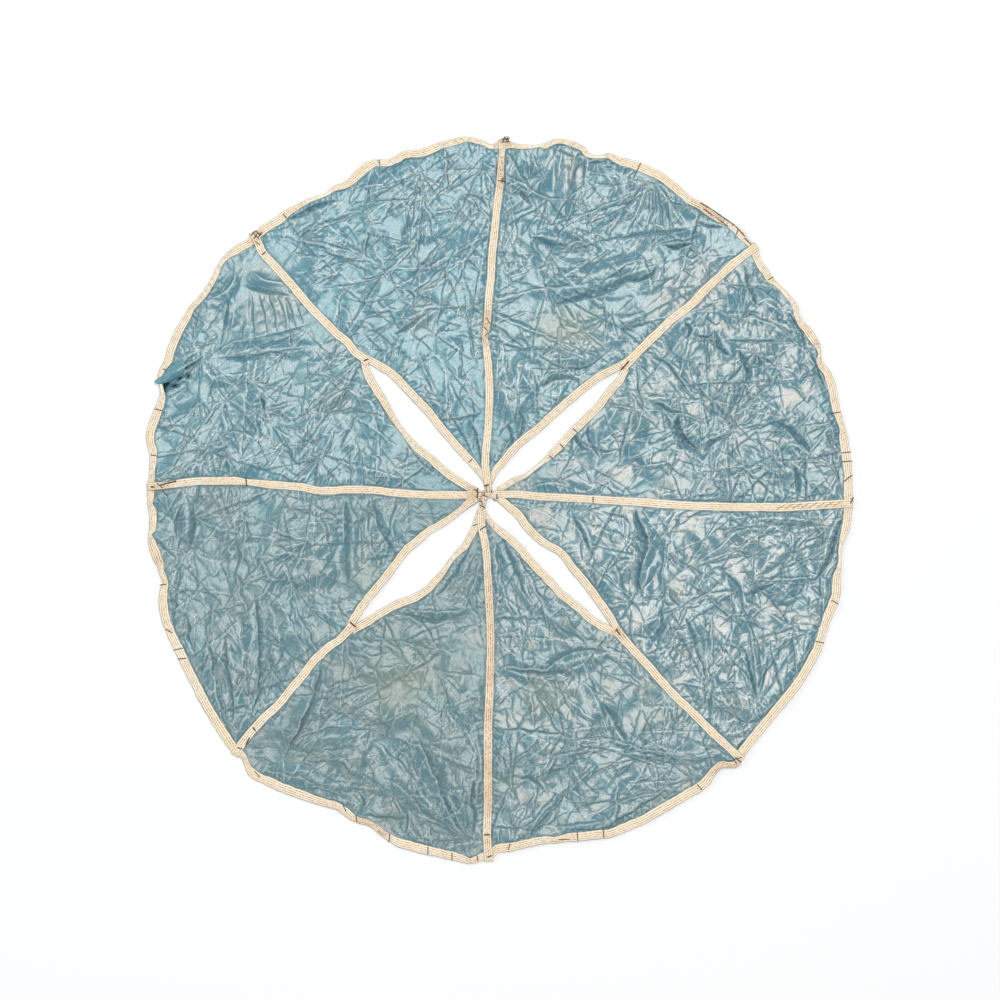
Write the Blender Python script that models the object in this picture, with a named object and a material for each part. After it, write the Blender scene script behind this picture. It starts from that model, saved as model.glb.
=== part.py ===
"""A small round slotted parachute canopy, spread flat on a floor.

Eight gores of thin cloth meet under eight radial seams. Rim tape binds the outer edge, two long seam tapes
cross at the crown, four short seam tapes stop at the outer ends of four open slots, and slot tapes bind both
sides of every slot. All pieces are thin sheets that lie on each other with a small gap.

Plan places in the tables are read on a square pattern grid, GRID to a square, with across to the right and
down towards the near edge. The pattern's middle is at square 500, 500. Widths, reaches and rises are in mm.
"""

import math
from collections import namedtuple

import bpy
import numpy as np
from mathutils import Vector
from mathutils.geometry import delaunay_2d_cdt

MM = 0.001
GRID = 1.5
GRID_MIDDLE = 500.0

CLOTH_THICKNESS = 1.2
TAPE_THICKNESS = 1.0
PIECE_GAP = 0.3
SEAM_GAP = 0.3
CLOTH_INSET = 1.0
CORNER_WIDTH = 13.0
NORMAL_SPREAD = 0.8

LAYER = TAPE_THICKNESS + PIECE_GAP
STATION_STEP = 24.0
CLOSEST_STATIONS = 4.0
RIM_STEP_DEGREES = 3.2

HUB_LIFT_REACH = 62.0
HUB_CROSS_REACH = 10.0
LIFT_RUN = 9.0
SLOT_END_OVERLAP = 13.0
RIM_PAD_MARGIN = 2.0
TUCKED_WIDTH = 8.0
TUCK_SHARE = 0.2
TUCK_OFFSET_SHARE = 0.55

SCATTER_STEP = 26.0
SCATTER_CLEARANCE = 13.0
SCATTER_RISE = 6.0
SCATTER_FLAT_SHARE = 0.35
SCATTER_NUDGE = 0.28
SCATTER_ROW_SHARE = 0.87
SCATTER_LOOSE_WIDTH = 33.0
SETTLE_WIDTH = 22.0
FOLD_CLEARANCE = 4.0
FOLD_TAPER = 1.6
NARROWEST_FOLD = 0.2
FOLD_STOPS = (0.0, 0.25, 0.5, 0.75, 1.0)
EDGE_CLEARANCE = 0.6
PATCH_REACH = 50.0
SEED = 7
WHOLE_HULL = 0
SAME_POINT = 1e-4

Knot = namedtuple("Knot", "across down width rise")
RimKnot = namedtuple("RimKnot", "bearing reach width rise")
Fold = namedtuple("Fold", "gore across_0 down_0 across_1 down_1 bow rise spread")
Spot = namedtuple("Spot", "across down")
Station = namedtuple("Station", "point left half rise")

HUB = Knot(485, 496, 9, 0)
PAD_STATION = 1

# Rim tape, clockwise from the top: the first row of each section is the corner where a seam reaches the rim.
RIM = {
    1: [
        RimKnot(0.3, 540, 13, 0),
        RimKnot(2.0, 534, 8, 0),
        RimKnot(5.0, 533, 7, 1),
        RimKnot(7.2, 540, 9, 1),
        RimKnot(9.2, 548, 7, 4),
        RimKnot(12.0, 546, 8, 5),
        RimKnot(14.2, 538, 7, 3),
        RimKnot(16.2, 537, 5, 2),
        RimKnot(17.6, 545, 9, 2),
        RimKnot(21.0, 546, 13, 1),
        RimKnot(24.5, 547, 13, 2),
        RimKnot(28.5, 545, 13, 1),
        RimKnot(32.4, 537, 12, 0),
        RimKnot(36.1, 541, 12, 1),
        RimKnot(39.2, 540, 8, 3),
        RimKnot(41.8, 544, 12, 1),
        RimKnot(43.4, 541, 12, 0),
    ],
    2: [
        RimKnot(45.2, 541, 13, 0),
        RimKnot(47.6, 532, 11, 0),
        RimKnot(50.5, 528, 12, 0),
        RimKnot(53.3, 531, 7, 2),
        RimKnot(55.8, 532, 8, 3),
        RimKnot(58.6, 527, 9, 4),
        RimKnot(61.0, 532, 12, 1),
        RimKnot(64.2, 532, 9, 1),
        RimKnot(66.6, 524, 5, 3),
        RimKnot(68.5, 530, 10, 1),
        RimKnot(72.0, 531, 12, 0),
        RimKnot(75.0, 527, 12, 1),
        RimKnot(78.2, 529, 9, 2),
        RimKnot(81.2, 530, 13, 0),
        RimKnot(84.5, 530, 13, 0),
        RimKnot(87.7, 528, 13, 0),
    ],
    3: [
        RimKnot(90.4, 531, 13, 0),
        RimKnot(92.4, 528, 12, 0),
        RimKnot(94.4, 526, 12, 1),
        RimKnot(96.1, 520, 8, 3),
        RimKnot(97.6, 516, 6, 4),
        RimKnot(99.8, 518, 5, 4),
        RimKnot(102.2, 523, 9, 1),
        RimKnot(106.0, 529, 13, 0),
        RimKnot(110.0, 530, 13, 0),
        RimKnot(118.0, 530, 13, 1),
        RimKnot(126.0, 529, 13, 0),
        RimKnot(133.0, 528, 13, 0),
    ],
    4: [
        RimKnot(136.9, 532, 13, 0),
        RimKnot(138.6, 533, 11, 0),
        RimKnot(140.3, 522, 9, 2),
        RimKnot(141.8, 525, 11, 2),
        RimKnot(143.6, 530, 13, 1),
        RimKnot(147.0, 528, 13, 0),
        RimKnot(154.0, 531, 13, 0),
        RimKnot(159.0, 534, 13, 0),
        RimKnot(162.5, 532, 13, 1),
        RimKnot(166.0, 525, 13, 0),
        RimKnot(170.0, 521, 10, 2),
        RimKnot(174.0, 520, 12, 1),
        RimKnot(177.5, 525, 12, 0),
        RimKnot(179.6, 528, 13, 0),
    ],
    5: [
        RimKnot(181.5, 536, 13, 0),
        RimKnot(183.4, 543, 11, 0),
        RimKnot(184.9, 547, 8, 3),
        RimKnot(186.6, 546, 12, 1),
        RimKnot(190.0, 543, 13, 0),
        RimKnot(194.4, 542, 13, 0),
        RimKnot(197.3, 538, 11, 1),
        RimKnot(200.3, 531, 9, 2),
        RimKnot(203.5, 528, 9, 2),
        RimKnot(206.6, 526, 12, 1),
        RimKnot(209.0, 528, 10, 1),
        RimKnot(212.5, 536, 12, 0),
        RimKnot(217.0, 547, 13, 0),
        RimKnot(220.0, 555, 13, 0),
        RimKnot(222.0, 559, 12, 1),
        RimKnot(223.4, 556, 9, 2),
        RimKnot(224.8, 550, 9, 0),
    ],
    6: [
        RimKnot(226.1, 553, 13, 0),
        RimKnot(228.2, 550, 13, 0),
        RimKnot(231.0, 547, 13, 0),
        RimKnot(235.0, 541, 13, 0),
        RimKnot(240.0, 538, 13, 0),
        RimKnot(245.0, 537, 13, 0),
        RimKnot(249.5, 538, 13, 0),
        RimKnot(253.2, 534, 13, 0),
        RimKnot(256.2, 521, 8, 2),
        RimKnot(258.4, 523, 9, 2),
        RimKnot(260.4, 528, 13, 1),
        RimKnot(262.5, 531, 12, 0),
        RimKnot(264.5, 529, 6, 3),
        RimKnot(266.7, 526, 11, 1),
        RimKnot(269.4, 528, 8, 0),
    ],
    7: [
        RimKnot(272.1, 528, 13, 0),
        RimKnot(274.0, 527, 9, 0),
        RimKnot(276.5, 528, 10, 1),
        RimKnot(279.2, 536, 12, 1),
        RimKnot(281.2, 540, 13, 0),
        RimKnot(284.0, 536, 13, 1),
        RimKnot(286.9, 533, 9, 2),
        RimKnot(288.8, 547, 7, 5),
        RimKnot(290.7, 544, 9, 3),
        RimKnot(293.0, 545, 12, 1),
        RimKnot(296.3, 548, 12, 0),
        RimKnot(299.5, 550, 12, 0),
        RimKnot(302.3, 547, 9, 1),
        RimKnot(305.6, 544, 9, 1),
        RimKnot(308.6, 548, 8, 1),
        RimKnot(311.5, 553, 9, 1),
        RimKnot(313.6, 551, 13, 0),
        RimKnot(315.4, 547, 13, 0),
    ],
    8: [
        RimKnot(317.2, 544, 13, 0),
        RimKnot(319.4, 545, 13, 0),
        RimKnot(322.5, 542, 13, 0),
        RimKnot(325.2, 539, 9, 2),
        RimKnot(328.0, 535, 7, 3),
        RimKnot(330.6, 529, 5, 4),
        RimKnot(333.0, 532, 10, 1),
        RimKnot(335.6, 537, 13, 0),
        RimKnot(338.5, 545, 13, 1),
        RimKnot(342.0, 538, 11, 0),
        RimKnot(344.8, 542, 12, 0),
        RimKnot(347.2, 540, 13, 0),
        RimKnot(350.5, 544, 11, 1),
        RimKnot(354.3, 547, 9, 3),
        RimKnot(356.4, 543, 8, 3),
        RimKnot(358.4, 533, 8, 0),
    ],
}

# Long seams, from the rim to the crown. The rim end of each is the corner in RIM.
ARMS = {
    "n": [
        Knot(501, 166, 12, 0),
        Knot(500, 185, 12, 1),
        Knot(496, 217, 12, 1),
        Knot(492, 256, 12, 0),
        Knot(489, 300, 11, 1),
        Knot(487, 322, 11, 1),
        Knot(485, 338, 9, 3),
        Knot(487, 355, 11, 1),
        Knot(489, 378, 12, 0),
        Knot(489, 410, 12, 0),
        Knot(486, 448, 12, 0),
        Knot(487, 478, 11, 0),
    ],
    "e": [
        Knot(832, 504, 12, 0),
        Knot(812, 506, 12, 1),
        Knot(780, 507, 13, 0),
        Knot(739, 507, 13, 0),
        Knot(689, 505, 13, 1),
        Knot(639, 502, 13, 0),
        Knot(602, 500, 13, 0),
        Knot(560, 497, 12, 0),
        Knot(520, 494, 12, 0),
        Knot(501, 494, 11, 0),
    ],
    "s": [
        Knot(487, 834, 11, 0),
        Knot(487, 815, 12, 0),
        Knot(488, 770, 12, 1),
        Knot(488, 729, 12, 0),
        Knot(490, 690, 12, 0),
        Knot(491, 647, 12, 1),
        Knot(489, 602, 12, 0),
        Knot(487, 560, 12, 0),
        Knot(482, 530, 11, 0),
        Knot(481, 513, 10, 0),
    ],
    "w": [
        Knot(168, 486, 12, 0),
        Knot(183, 483, 12, 1),
        Knot(205, 481, 12, 0),
        Knot(231, 481, 12, 0),
        Knot(250, 483, 11, 1),
        Knot(277, 485, 12, 0),
        Knot(302, 487, 12, 1),
        Knot(319, 490, 12, 1),
        Knot(348, 490, 12, 0),
        Knot(375, 490, 12, 0),
        Knot(400, 493, 12, 0),
        Knot(432, 495, 12, 0),
        Knot(462, 495, 12, 0),
    ],
}

# Short seams, from the rim to the outer end of a slot.
DIAGONALS = {
    "ne": [
        Knot(733, 265, 12, 0),
        Knot(711, 285, 12, 0),
        Knot(690, 304, 12, 1),
        Knot(665, 326, 12, 1),
        Knot(642, 348, 12, 0),
        Knot(624, 366, 12, 0),
    ],
    "se": [
        Knot(721, 740, 13, 0),
        Knot(700, 720, 13, 0),
        Knot(675, 695, 13, 1),
        Knot(649, 667, 12, 1),
        Knot(632, 649, 12, 0),
        Knot(616, 630, 12, 0),
    ],
    "sw": [
        Knot(251, 734, 12, 0),
        Knot(270, 712, 13, 0),
        Knot(292, 688, 13, 1),
        Knot(315, 661, 13, 1),
        Knot(335, 643, 13, 0),
        Knot(354, 625, 12, 0),
    ],
    "nw": [
        Knot(268, 259, 12, 0),
        Knot(290, 283, 13, 0),
        Knot(312, 309, 13, 1),
        Knot(334, 331, 13, 1),
        Knot(351, 347, 13, 0),
        Knot(367, 362, 12, 0),
    ],
}

# Slot tapes, from the outer end of the slot to the crown, numbered as the gore that each one binds.
SLOT_TAPES = {
    1: [
        Knot(620, 366, 11, 0),
        Knot(606, 373, 12, 0),
        Knot(585, 387, 12, 1),
        Knot(560, 408, 12, 1),
        Knot(535, 430, 12, 1),
        Knot(511, 452, 12, 0),
        Knot(499, 466, 12, 0),
        Knot(493, 476, 9, 0),
        Knot(490, 484, 5, 0),
    ],
    2: [
        Knot(625, 373, 10, 0),
        Knot(612, 389, 12, 0),
        Knot(597, 407, 12, 1),
        Knot(575, 430, 12, 1),
        Knot(552, 454, 11, 1),
        Knot(533, 470, 7, 2),
        Knot(517, 479, 9, 0),
        Knot(506, 485, 9, 0),
        Knot(498, 490, 7, 0),
    ],
    3: [
        Knot(616, 625, 9, 0),
        Knot(606, 611, 11, 0),
        Knot(592, 592, 12, 1),
        Knot(573, 568, 11, 1),
        Knot(556, 549, 11, 1),
        Knot(536, 536, 12, 1),
        Knot(517, 513, 12, 0),
        Knot(508, 505, 11, 0),
        Knot(498, 498, 7, 0),
    ],
    4: [
        Knot(612, 631, 9, 0),
        Knot(597, 623, 12, 0),
        Knot(577, 607, 12, 1),
        Knot(553, 585, 12, 1),
        Knot(530, 561, 12, 1),
        Knot(512, 541, 12, 0),
        Knot(499, 528, 11, 0),
        Knot(490, 520, 8, 0),
        Knot(485, 512, 5, 0),
    ],
    5: [
        Knot(359, 627, 9, 0),
        Knot(372, 619, 12, 0),
        Knot(392, 607, 12, 1),
        Knot(418, 596, 12, 1),
        Knot(437, 580, 11, 1),
        Knot(452, 560, 8, 2),
        Knot(464, 547, 10, 1),
        Knot(472, 532, 10, 0),
        Knot(476, 521, 9, 0),
        Knot(479, 511, 6, 0),
    ],
    6: [
        Knot(353, 619, 9, 0),
        Knot(363, 604, 12, 0),
        Knot(378, 586, 12, 1),
        Knot(397, 562, 12, 1),
        Knot(416, 542, 12, 1),
        Knot(437, 526, 11, 0),
        Knot(455, 514, 10, 0),
        Knot(466, 506, 12, 0),
        Knot(476, 499, 7, 0),
    ],
    7: [
        Knot(366, 369, 9, 0),
        Knot(376, 389, 12, 0),
        Knot(388, 409, 11, 1),
        Knot(400, 428, 8, 2),
        Knot(414, 445, 10, 1),
        Knot(436, 464, 12, 1),
        Knot(456, 479, 12, 0),
        Knot(468, 486, 11, 0),
        Knot(477, 491, 7, 0),
    ],
    8: [
        Knot(374, 363, 9, 0),
        Knot(391, 373, 12, 0),
        Knot(412, 395, 12, 1),
        Knot(430, 413, 12, 1),
        Knot(450, 438, 12, 1),
        Knot(467, 457, 12, 0),
        Knot(477, 469, 10, 0),
        Knot(483, 477, 8, 0),
        Knot(486, 484, 5, 0),
    ],
}

# Main folds: soft ridges with straight or bowed crests. Bow, rise and spread (half width) are in mm.
FOLDS = [
    Fold(1, 568, 158, 562, 226, 0, 9, 17),
    Fold(1, 650, 188, 594, 214, -5, 5, 12),
    Fold(1, 651, 190, 640, 238, 0, 6, 11),
    Fold(1, 656, 188, 690, 230, 0, 5, 12),
    Fold(1, 524, 232, 604, 240, -8, 7, 16),
    Fold(1, 534, 300, 662, 262, 10, 8, 22),
    Fold(1, 658, 243, 708, 240, 0, 6, 14),
    Fold(1, 516, 352, 610, 352, -12, 6, 17),
    Fold(2, 740, 266, 756, 306, 0, 6, 14),
    Fold(2, 782, 312, 806, 350, 0, 6, 12),
    Fold(2, 652, 350, 700, 404, 0, 5, 14),
    Fold(2, 700, 316, 738, 366, 0, 6, 17),
    Fold(2, 738, 372, 756, 394, 0, 5, 14),
    Fold(2, 660, 406, 704, 452, 8, 8, 18),
    Fold(2, 776, 434, 812, 458, 0, 5, 14),
    Fold(2, 742, 440, 784, 486, 0, 4, 14),
    Fold(3, 640, 514, 642, 592, 6, 7, 16),
    Fold(3, 572, 512, 596, 556, 0, 6, 13),
    Fold(3, 681, 606, 708, 690, 0, 7, 17),
    Fold(3, 684, 600, 732, 566, 0, 5, 16),
    Fold(3, 838, 522, 812, 576, 0, 8, 15),
    Fold(3, 750, 628, 757, 700, 0, 6, 12),
    Fold(3, 742, 590, 800, 530, 0, 5, 15),
    Fold(4, 502, 664, 618, 650, -12, 8, 18),
    Fold(4, 512, 584, 580, 640, 0, 5, 14),
    Fold(4, 606, 714, 628, 742, 0, 6, 15),
    Fold(4, 604, 742, 716, 756, 0, 6, 14),
    Fold(4, 522, 788, 592, 736, 0, 5, 15),
    Fold(4, 606, 788, 690, 776, 0, 4, 14),
    Fold(5, 398, 616, 474, 612, 0, 6, 14),
    Fold(5, 416, 734, 468, 846, 0, 8, 18),
    Fold(5, 314, 690, 286, 758, 0, 6, 14),
    Fold(5, 300, 738, 378, 724, -4, 5, 15),
    Fold(5, 268, 770, 366, 790, 0, 4, 16),
    Fold(5, 370, 740, 446, 826, 0, 5, 14),
    Fold(6, 186, 498, 188, 546, 0, 7, 14),
    Fold(6, 254, 592, 252, 708, -4, 7, 17),
    Fold(6, 228, 640, 242, 728, 0, 5, 13),
    Fold(6, 350, 502, 352, 590, 0, 5, 15),
    Fold(6, 384, 504, 380, 566, 0, 5, 15),
    Fold(6, 272, 640, 288, 690, 0, 5, 14),
    Fold(7, 166, 382, 196, 364, 0, 9, 14),
    Fold(7, 358, 368, 314, 412, 5, 7, 16),
    Fold(7, 204, 306, 240, 276, -6, 7, 15),
    Fold(7, 244, 276, 292, 290, 0, 6, 13),
    Fold(7, 216, 354, 330, 350, 4, 6, 16),
    Fold(7, 226, 432, 268, 440, 0, 5, 14),
    Fold(8, 290, 216, 352, 196, -4, 7, 12),
    Fold(8, 312, 232, 356, 222, 0, 5, 12),
    Fold(8, 320, 250, 372, 264, 0, 5, 13),
    Fold(8, 392, 322, 434, 310, -5, 7, 16),
    Fold(8, 408, 242, 458, 222, 0, 5, 14),
    Fold(8, 440, 320, 474, 328, 0, 4, 13),
]

# One smooth patch of gore 7 lies flat on the floor, a triangle with these corners.
FLAT_PATCH_GORE = 7
FLAT_PATCH = [Spot(246, 328), Spot(298, 328), Spot(274, 292)]

# Seams at the two ends of each gore's rim, clockwise.
GORE_SEAMS = {
    1: ("n", "ne"),
    2: ("ne", "e"),
    3: ("e", "se"),
    4: ("se", "s"),
    5: ("s", "sw"),
    6: ("sw", "w"),
    7: ("w", "nw"),
    8: ("nw", "n"),
}
SEAM_CORNER = {"n": 1, "ne": 2, "e": 3, "se": 4, "s": 5, "sw": 6, "w": 7, "nw": 8}

CLOTH_COLOUR = (0.13, 0.33, 0.40, 1.0)
CLOTH_ROUGHNESS = 0.45
TAPE_COLOUR = (0.80, 0.70, 0.54, 1.0)
TAPE_ROUGHNESS = 0.8


def place(across, down):
    """Plan position, in mm, of a place on the pattern grid."""
    return np.array([(across - GRID_MIDDLE) * GRID, (GRID_MIDDLE - down) * GRID])


def smooth(at, values, wanted):
    """Cubic curve through values, which are given at rising distances, read at the wanted distances."""
    slopes = np.gradient(values, at)
    cell = np.clip(np.searchsorted(at, wanted, side="right") - 1, 0, len(at) - 2)
    length = at[cell + 1] - at[cell]
    t = (wanted - at[cell]) / length
    start_weight = (1 + 2 * t) * (1 - t) ** 2
    end_weight = t * t * (3 - 2 * t)
    start_slope = t * (1 - t) ** 2 * length
    end_slope = t * t * (t - 1) * length
    return (start_weight * values[cell] + end_weight * values[cell + 1]
            + start_slope * slopes[cell] + end_slope * slopes[cell + 1])


def subdivided(marks, step):
    """Rising distances with extra ones put in so that none are further apart than step."""
    result = [marks[0]]
    for mark in marks[1:]:
        parts = max(1, math.ceil((mark - result[-1]) / step - 0.01))
        result.extend(np.linspace(result[-1], mark, parts + 1)[1:])
    return result


def thinned(marks, keep):
    """Drops distances that come too close to a kept one."""
    spare = [mark for mark in marks if all(abs(mark - kept) > CLOSEST_STATIONS for kept in keep)]
    return sorted(spare + list(keep))


def smoothstep(value):
    value = np.clip(value, 0.0, 1.0)
    return value * value * (3 - 2 * value)


# Rim ------------------------------------------------------------------------------------------------------

def rim_ring():
    """Every rim knot as arrays over a little more than a full turn, so that the curve closes smoothly."""
    knots = [knot for gore in sorted(RIM) for knot in RIM[gore]]
    table = np.array(knots, dtype=float)
    before = table[-3:] - [360, 0, 0, 0]
    after = table[:3] + [360, 0, 0, 0]
    return np.vstack([before, table, after])


RING = rim_ring()


def rim_point(bearing):
    """Outer edge of the rim tape at a bearing, clockwise from the top."""
    reach = smooth(RING[:, 0], RING[:, 1], np.array([bearing]))[0]
    angle = math.radians(bearing)
    return np.array([math.sin(angle) * reach, math.cos(angle) * reach])


def corner_bearing(seam):
    return RIM[SEAM_CORNER[seam]][0].bearing


def rim_normal(bearing):
    """Outward direction of the rim's outer edge."""
    ahead = rim_point(bearing + NORMAL_SPREAD) - rim_point(bearing - NORMAL_SPREAD)
    outward = np.array([-ahead[1], ahead[0]]) / np.linalg.norm(ahead)
    return outward


def rim_stations(gore):
    """Outer and inner edge points of a rim tape with their rises, clockwise, from seam to seam."""
    start_seam, end_seam = GORE_SEAMS[gore]
    first = corner_bearing(start_seam)
    last = corner_bearing(end_seam)
    if last < first:
        last += 360
    bearings = subdivided([knot.bearing for knot in RIM[gore]] + [last], RIM_STEP_DEGREES)
    outer, inner, rises = [], [], []
    for bearing in bearings:
        edge = rim_point(bearing)
        width = np.interp(bearing, RING[:, 0], RING[:, 2])
        outer.append(edge)
        inner.append(edge - rim_normal(bearing) * width)
        rises.append(float(np.interp(bearing, RING[:, 0], RING[:, 3])))
    ends = ((0, start_seam, 1), (-1, end_seam, -1))
    for index, seam, sense in ends:
        pad = SEAMS[seam][0], SEAMS[seam][PAD_STATION]
        outer[index] = beside(pad[0], sense)
        inner[index] = beside(pad[1], sense)
    return outer, inner, rises


def beside(station, sense):
    """Point half a seam gap to the clockwise side (sense 1) or the other side of a seam's middle."""
    return station.point + station.left * sense * SEAM_GAP / 2


# Seams ----------------------------------------------------------------------------------------------------

def stations(knots, keep_from_start=(), keep_from_end=()):
    """Stations along a smooth line through the knots, with some distances from either end kept exactly."""
    points = np.array([place(knot.across, knot.down) for knot in knots])
    steps = np.linalg.norm(np.diff(points, axis=0), axis=1)
    at = np.concatenate([[0.0], np.cumsum(steps)])
    keep = [0.0, at[-1]] + list(keep_from_start) + [at[-1] - distance for distance in keep_from_end]
    marks = thinned(list(at), keep)
    marks = np.array(subdivided(marks, STATION_STEP))
    x = smooth(at, points[:, 0], marks)
    y = smooth(at, points[:, 1], marks)
    widths = np.interp(marks, at, [knot.width for knot in knots])
    rises = np.interp(marks, at, [knot.rise for knot in knots])
    line = np.column_stack([x, y])
    ahead = np.gradient(line, marks, axis=0)
    ahead /= np.linalg.norm(ahead, axis=1)[:, None]
    left = np.column_stack([-ahead[:, 1], ahead[:, 0]])
    return [Station(*row) for row in zip(line, left, widths / 2, rises)]


def corner_knot(seam):
    """The rim end of a seam, at the outer edge of the rim tape."""
    point = rim_point(corner_bearing(seam))
    return Knot(point[0] / GRID + GRID_MIDDLE, GRID_MIDDLE - point[1] / GRID, CORNER_WIDTH, 0)


RIM_MARKS = (CORNER_WIDTH, CORNER_WIDTH + RIM_PAD_MARGIN, CORNER_WIDTH + RIM_PAD_MARGIN + LIFT_RUN)


def long_seam(first, second):
    """A seam from rim to rim over the crown, and where its stations pass the crown."""
    knots = [corner_knot(first)] + ARMS[first] + [HUB] + ARMS[second][::-1] + [corner_knot(second)]
    crown = place(HUB.across, HUB.down)
    points = np.array([place(knot.across, knot.down) for knot in knots])
    at = np.concatenate([[0.0], np.cumsum(np.linalg.norm(np.diff(points, axis=0), axis=1))])
    middle = at[len(ARMS[first]) + 1]
    hub_marks = (HUB_LIFT_REACH + LIFT_RUN, HUB_LIFT_REACH, HUB_CROSS_REACH + LIFT_RUN, HUB_CROSS_REACH)
    near_crown = [middle - mark for mark in hub_marks] + [middle] + [middle + mark for mark in hub_marks]
    line = stations(knots, list(RIM_MARKS) + near_crown, RIM_MARKS)
    distances = [np.linalg.norm(station.point - crown) for station in line]
    return line, int(np.argmin(distances))


def reversed_line(line):
    """The same line run the other way, so that its left side changes."""
    return [station._replace(left=-station.left) for station in line[::-1]]


NS_LINE, NS_CROWN = long_seam("n", "s")
EW_LINE, EW_CROWN = long_seam("e", "w")
SEAMS = {
    "n": NS_LINE[:NS_CROWN + 1],
    "s": reversed_line(NS_LINE)[:len(NS_LINE) - NS_CROWN],
    "e": EW_LINE[:EW_CROWN + 1],
    "w": reversed_line(EW_LINE)[:len(EW_LINE) - EW_CROWN],
}
for diagonal, rows in DIAGONALS.items():
    slot_marks = (SLOT_END_OVERLAP, SLOT_END_OVERLAP + LIFT_RUN)
    SEAMS[diagonal] = stations([corner_knot(diagonal)] + rows, RIM_MARKS, slot_marks)


def signed_side(point, line):
    """Distance of a point to the left of a line of stations, and the nearest place on the line."""
    best = None
    for start, end in zip(line[:-1], line[1:]):
        along = end.point - start.point
        length = np.linalg.norm(along)
        share = np.clip(np.dot(point - start.point, along) / length ** 2, 0.0, 1.0)
        nearest = start.point + along * share
        distance = np.linalg.norm(point - nearest)
        if best is None or distance < best[0]:
            left = np.array([-along[1], along[0]]) / length
            best = (distance, np.dot(point - nearest, left), nearest, left)
    return best[1], best[2], best[3]


def kept_beside(point, line, sense, gap):
    """Moves a point onto its own side of a line, at least gap away from it."""
    side, nearest, left = signed_side(point, line)
    if side * sense >= gap:
        return point
    return nearest + left * sense * gap


# Slots ----------------------------------------------------------------------------------------------------

def gore_parts(gore):
    """The long seam and the short seam of a gore, each with the sense of the gore's side of it."""
    start_seam, end_seam = GORE_SEAMS[gore]
    if start_seam in ARMS:
        return start_seam, 1, end_seam, -1
    return end_seam, -1, start_seam, 1


def slot_axis(diagonal):
    """The line that parts the two slot tapes: the inner end of the short seam, then straight to the crown."""
    start = SEAMS[diagonal][-1]
    end = place(HUB.across, HUB.down)
    along = (end - start.point) / np.linalg.norm(end - start.point)
    left = np.array([-along[1], along[0]])
    return SEAMS[diagonal] + [Station(end, left, 0, 0)]


def tucked_knot(gore):
    """First knot of a slot tape, under the inner end of the short seam's tape."""
    diagonal, sense = gore_parts(gore)[2:]
    line = SEAMS[diagonal]
    index = len(line) - 2
    while np.linalg.norm(line[index].point - line[-1].point) < SLOT_END_OVERLAP - 1:
        index -= 1
    step = line[index + 1].point - line[index].point
    station = line[index]
    spot = station.point + step * TUCK_SHARE + station.left * sense * TUCKED_WIDTH * TUCK_OFFSET_SHARE
    return Knot(spot[0] / GRID + GRID_MIDDLE, GRID_MIDDLE - spot[1] / GRID, TUCKED_WIDTH, 0)


def slot_stations(gore):
    """Opening-side and cloth-side edge points of a slot tape with their rises, from outer end to crown."""
    arm, arm_sense, diagonal, diagonal_sense = gore_parts(gore)
    axis = slot_axis(diagonal)
    opening, cloth, rises = [], [], []
    for station in stations([tucked_knot(gore)] + SLOT_TAPES[gore]):
        toward_opening = station.left * -diagonal_sense * station.half
        open_edge = kept_beside(station.point + toward_opening, axis, diagonal_sense, SEAM_GAP / 2)
        cloth_edge = station.point - toward_opening
        open_edge = kept_beside(open_edge, SEAMS[arm], arm_sense, SEAM_GAP / 2)
        cloth_edge = kept_beside(cloth_edge, SEAMS[arm], arm_sense, SEAM_GAP / 2)
        opening.append(open_edge)
        cloth.append(cloth_edge)
        rises.append(station.rise)
    return opening, cloth, rises


# Solids ---------------------------------------------------------------------------------------------------

def material(name, colour, roughness):
    made = bpy.data.materials.new(name)
    made.use_nodes = True
    shader = made.node_tree.nodes["Principled BSDF"]
    shader.inputs["Base Color"].default_value = colour
    shader.inputs["Roughness"].default_value = roughness
    shader.inputs["Metallic"].default_value = 0.0
    return made


def add_solid(name, vertices, faces, colour, roughness):
    """An object from vertices in mm and outward faces."""
    mesh = bpy.data.meshes.new(name)
    mesh.from_pydata([Vector(vertex) * MM for vertex in vertices], [], faces)
    mesh.update()
    made = bpy.data.objects.new(name, mesh)
    made.data.materials.append(material(name, colour, roughness))
    bpy.context.scene.collection.objects.link(made)
    return made


def add_tape(name, left, right, bottoms):
    """A flat tape between two edge lines, with its underside at the given heights."""
    vertices, faces = [], []
    for left_point, right_point, bottom in zip(left, right, bottoms):
        top = bottom + TAPE_THICKNESS
        vertices.append((*left_point, bottom))
        vertices.append((*right_point, bottom))
        vertices.append((*right_point, top))
        vertices.append((*left_point, top))
    for index in range(len(bottoms) - 1):
        here = index * 4
        there = here + 4
        for side in range(4):
            after = (side + 1) % 4
            faces.append((here + side, there + side, there + after, here + after))
    last = len(vertices) - 4
    faces.append((0, 1, 2, 3))
    faces.append((last + 3, last + 2, last + 1, last))
    return add_solid(name, vertices, faces, TAPE_COLOUR, TAPE_ROUGHNESS)


def ramp_down(distance, reach):
    """1 within reach, then down to 0 over the run that a tape needs to come down."""
    return np.interp(distance, [reach, reach + LIFT_RUN], [1.0, 0.0])


def seam_lift(distance_to_rim, distance_to_inner_end, crosses_above):
    """How far a seam tape's underside is above the cloth, in mm."""
    over_rim = ramp_down(distance_to_rim, CORNER_WIDTH + RIM_PAD_MARGIN)
    if crosses_above is None:
        over_slot = ramp_down(distance_to_inner_end, SLOT_END_OVERLAP)
        return PIECE_GAP + LAYER * max(over_rim, over_slot)
    near_hub = ramp_down(distance_to_inner_end, HUB_LIFT_REACH)
    if crosses_above:
        near_hub += ramp_down(distance_to_inner_end, HUB_CROSS_REACH)
    return PIECE_GAP + LAYER * max(over_rim, near_hub)


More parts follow.
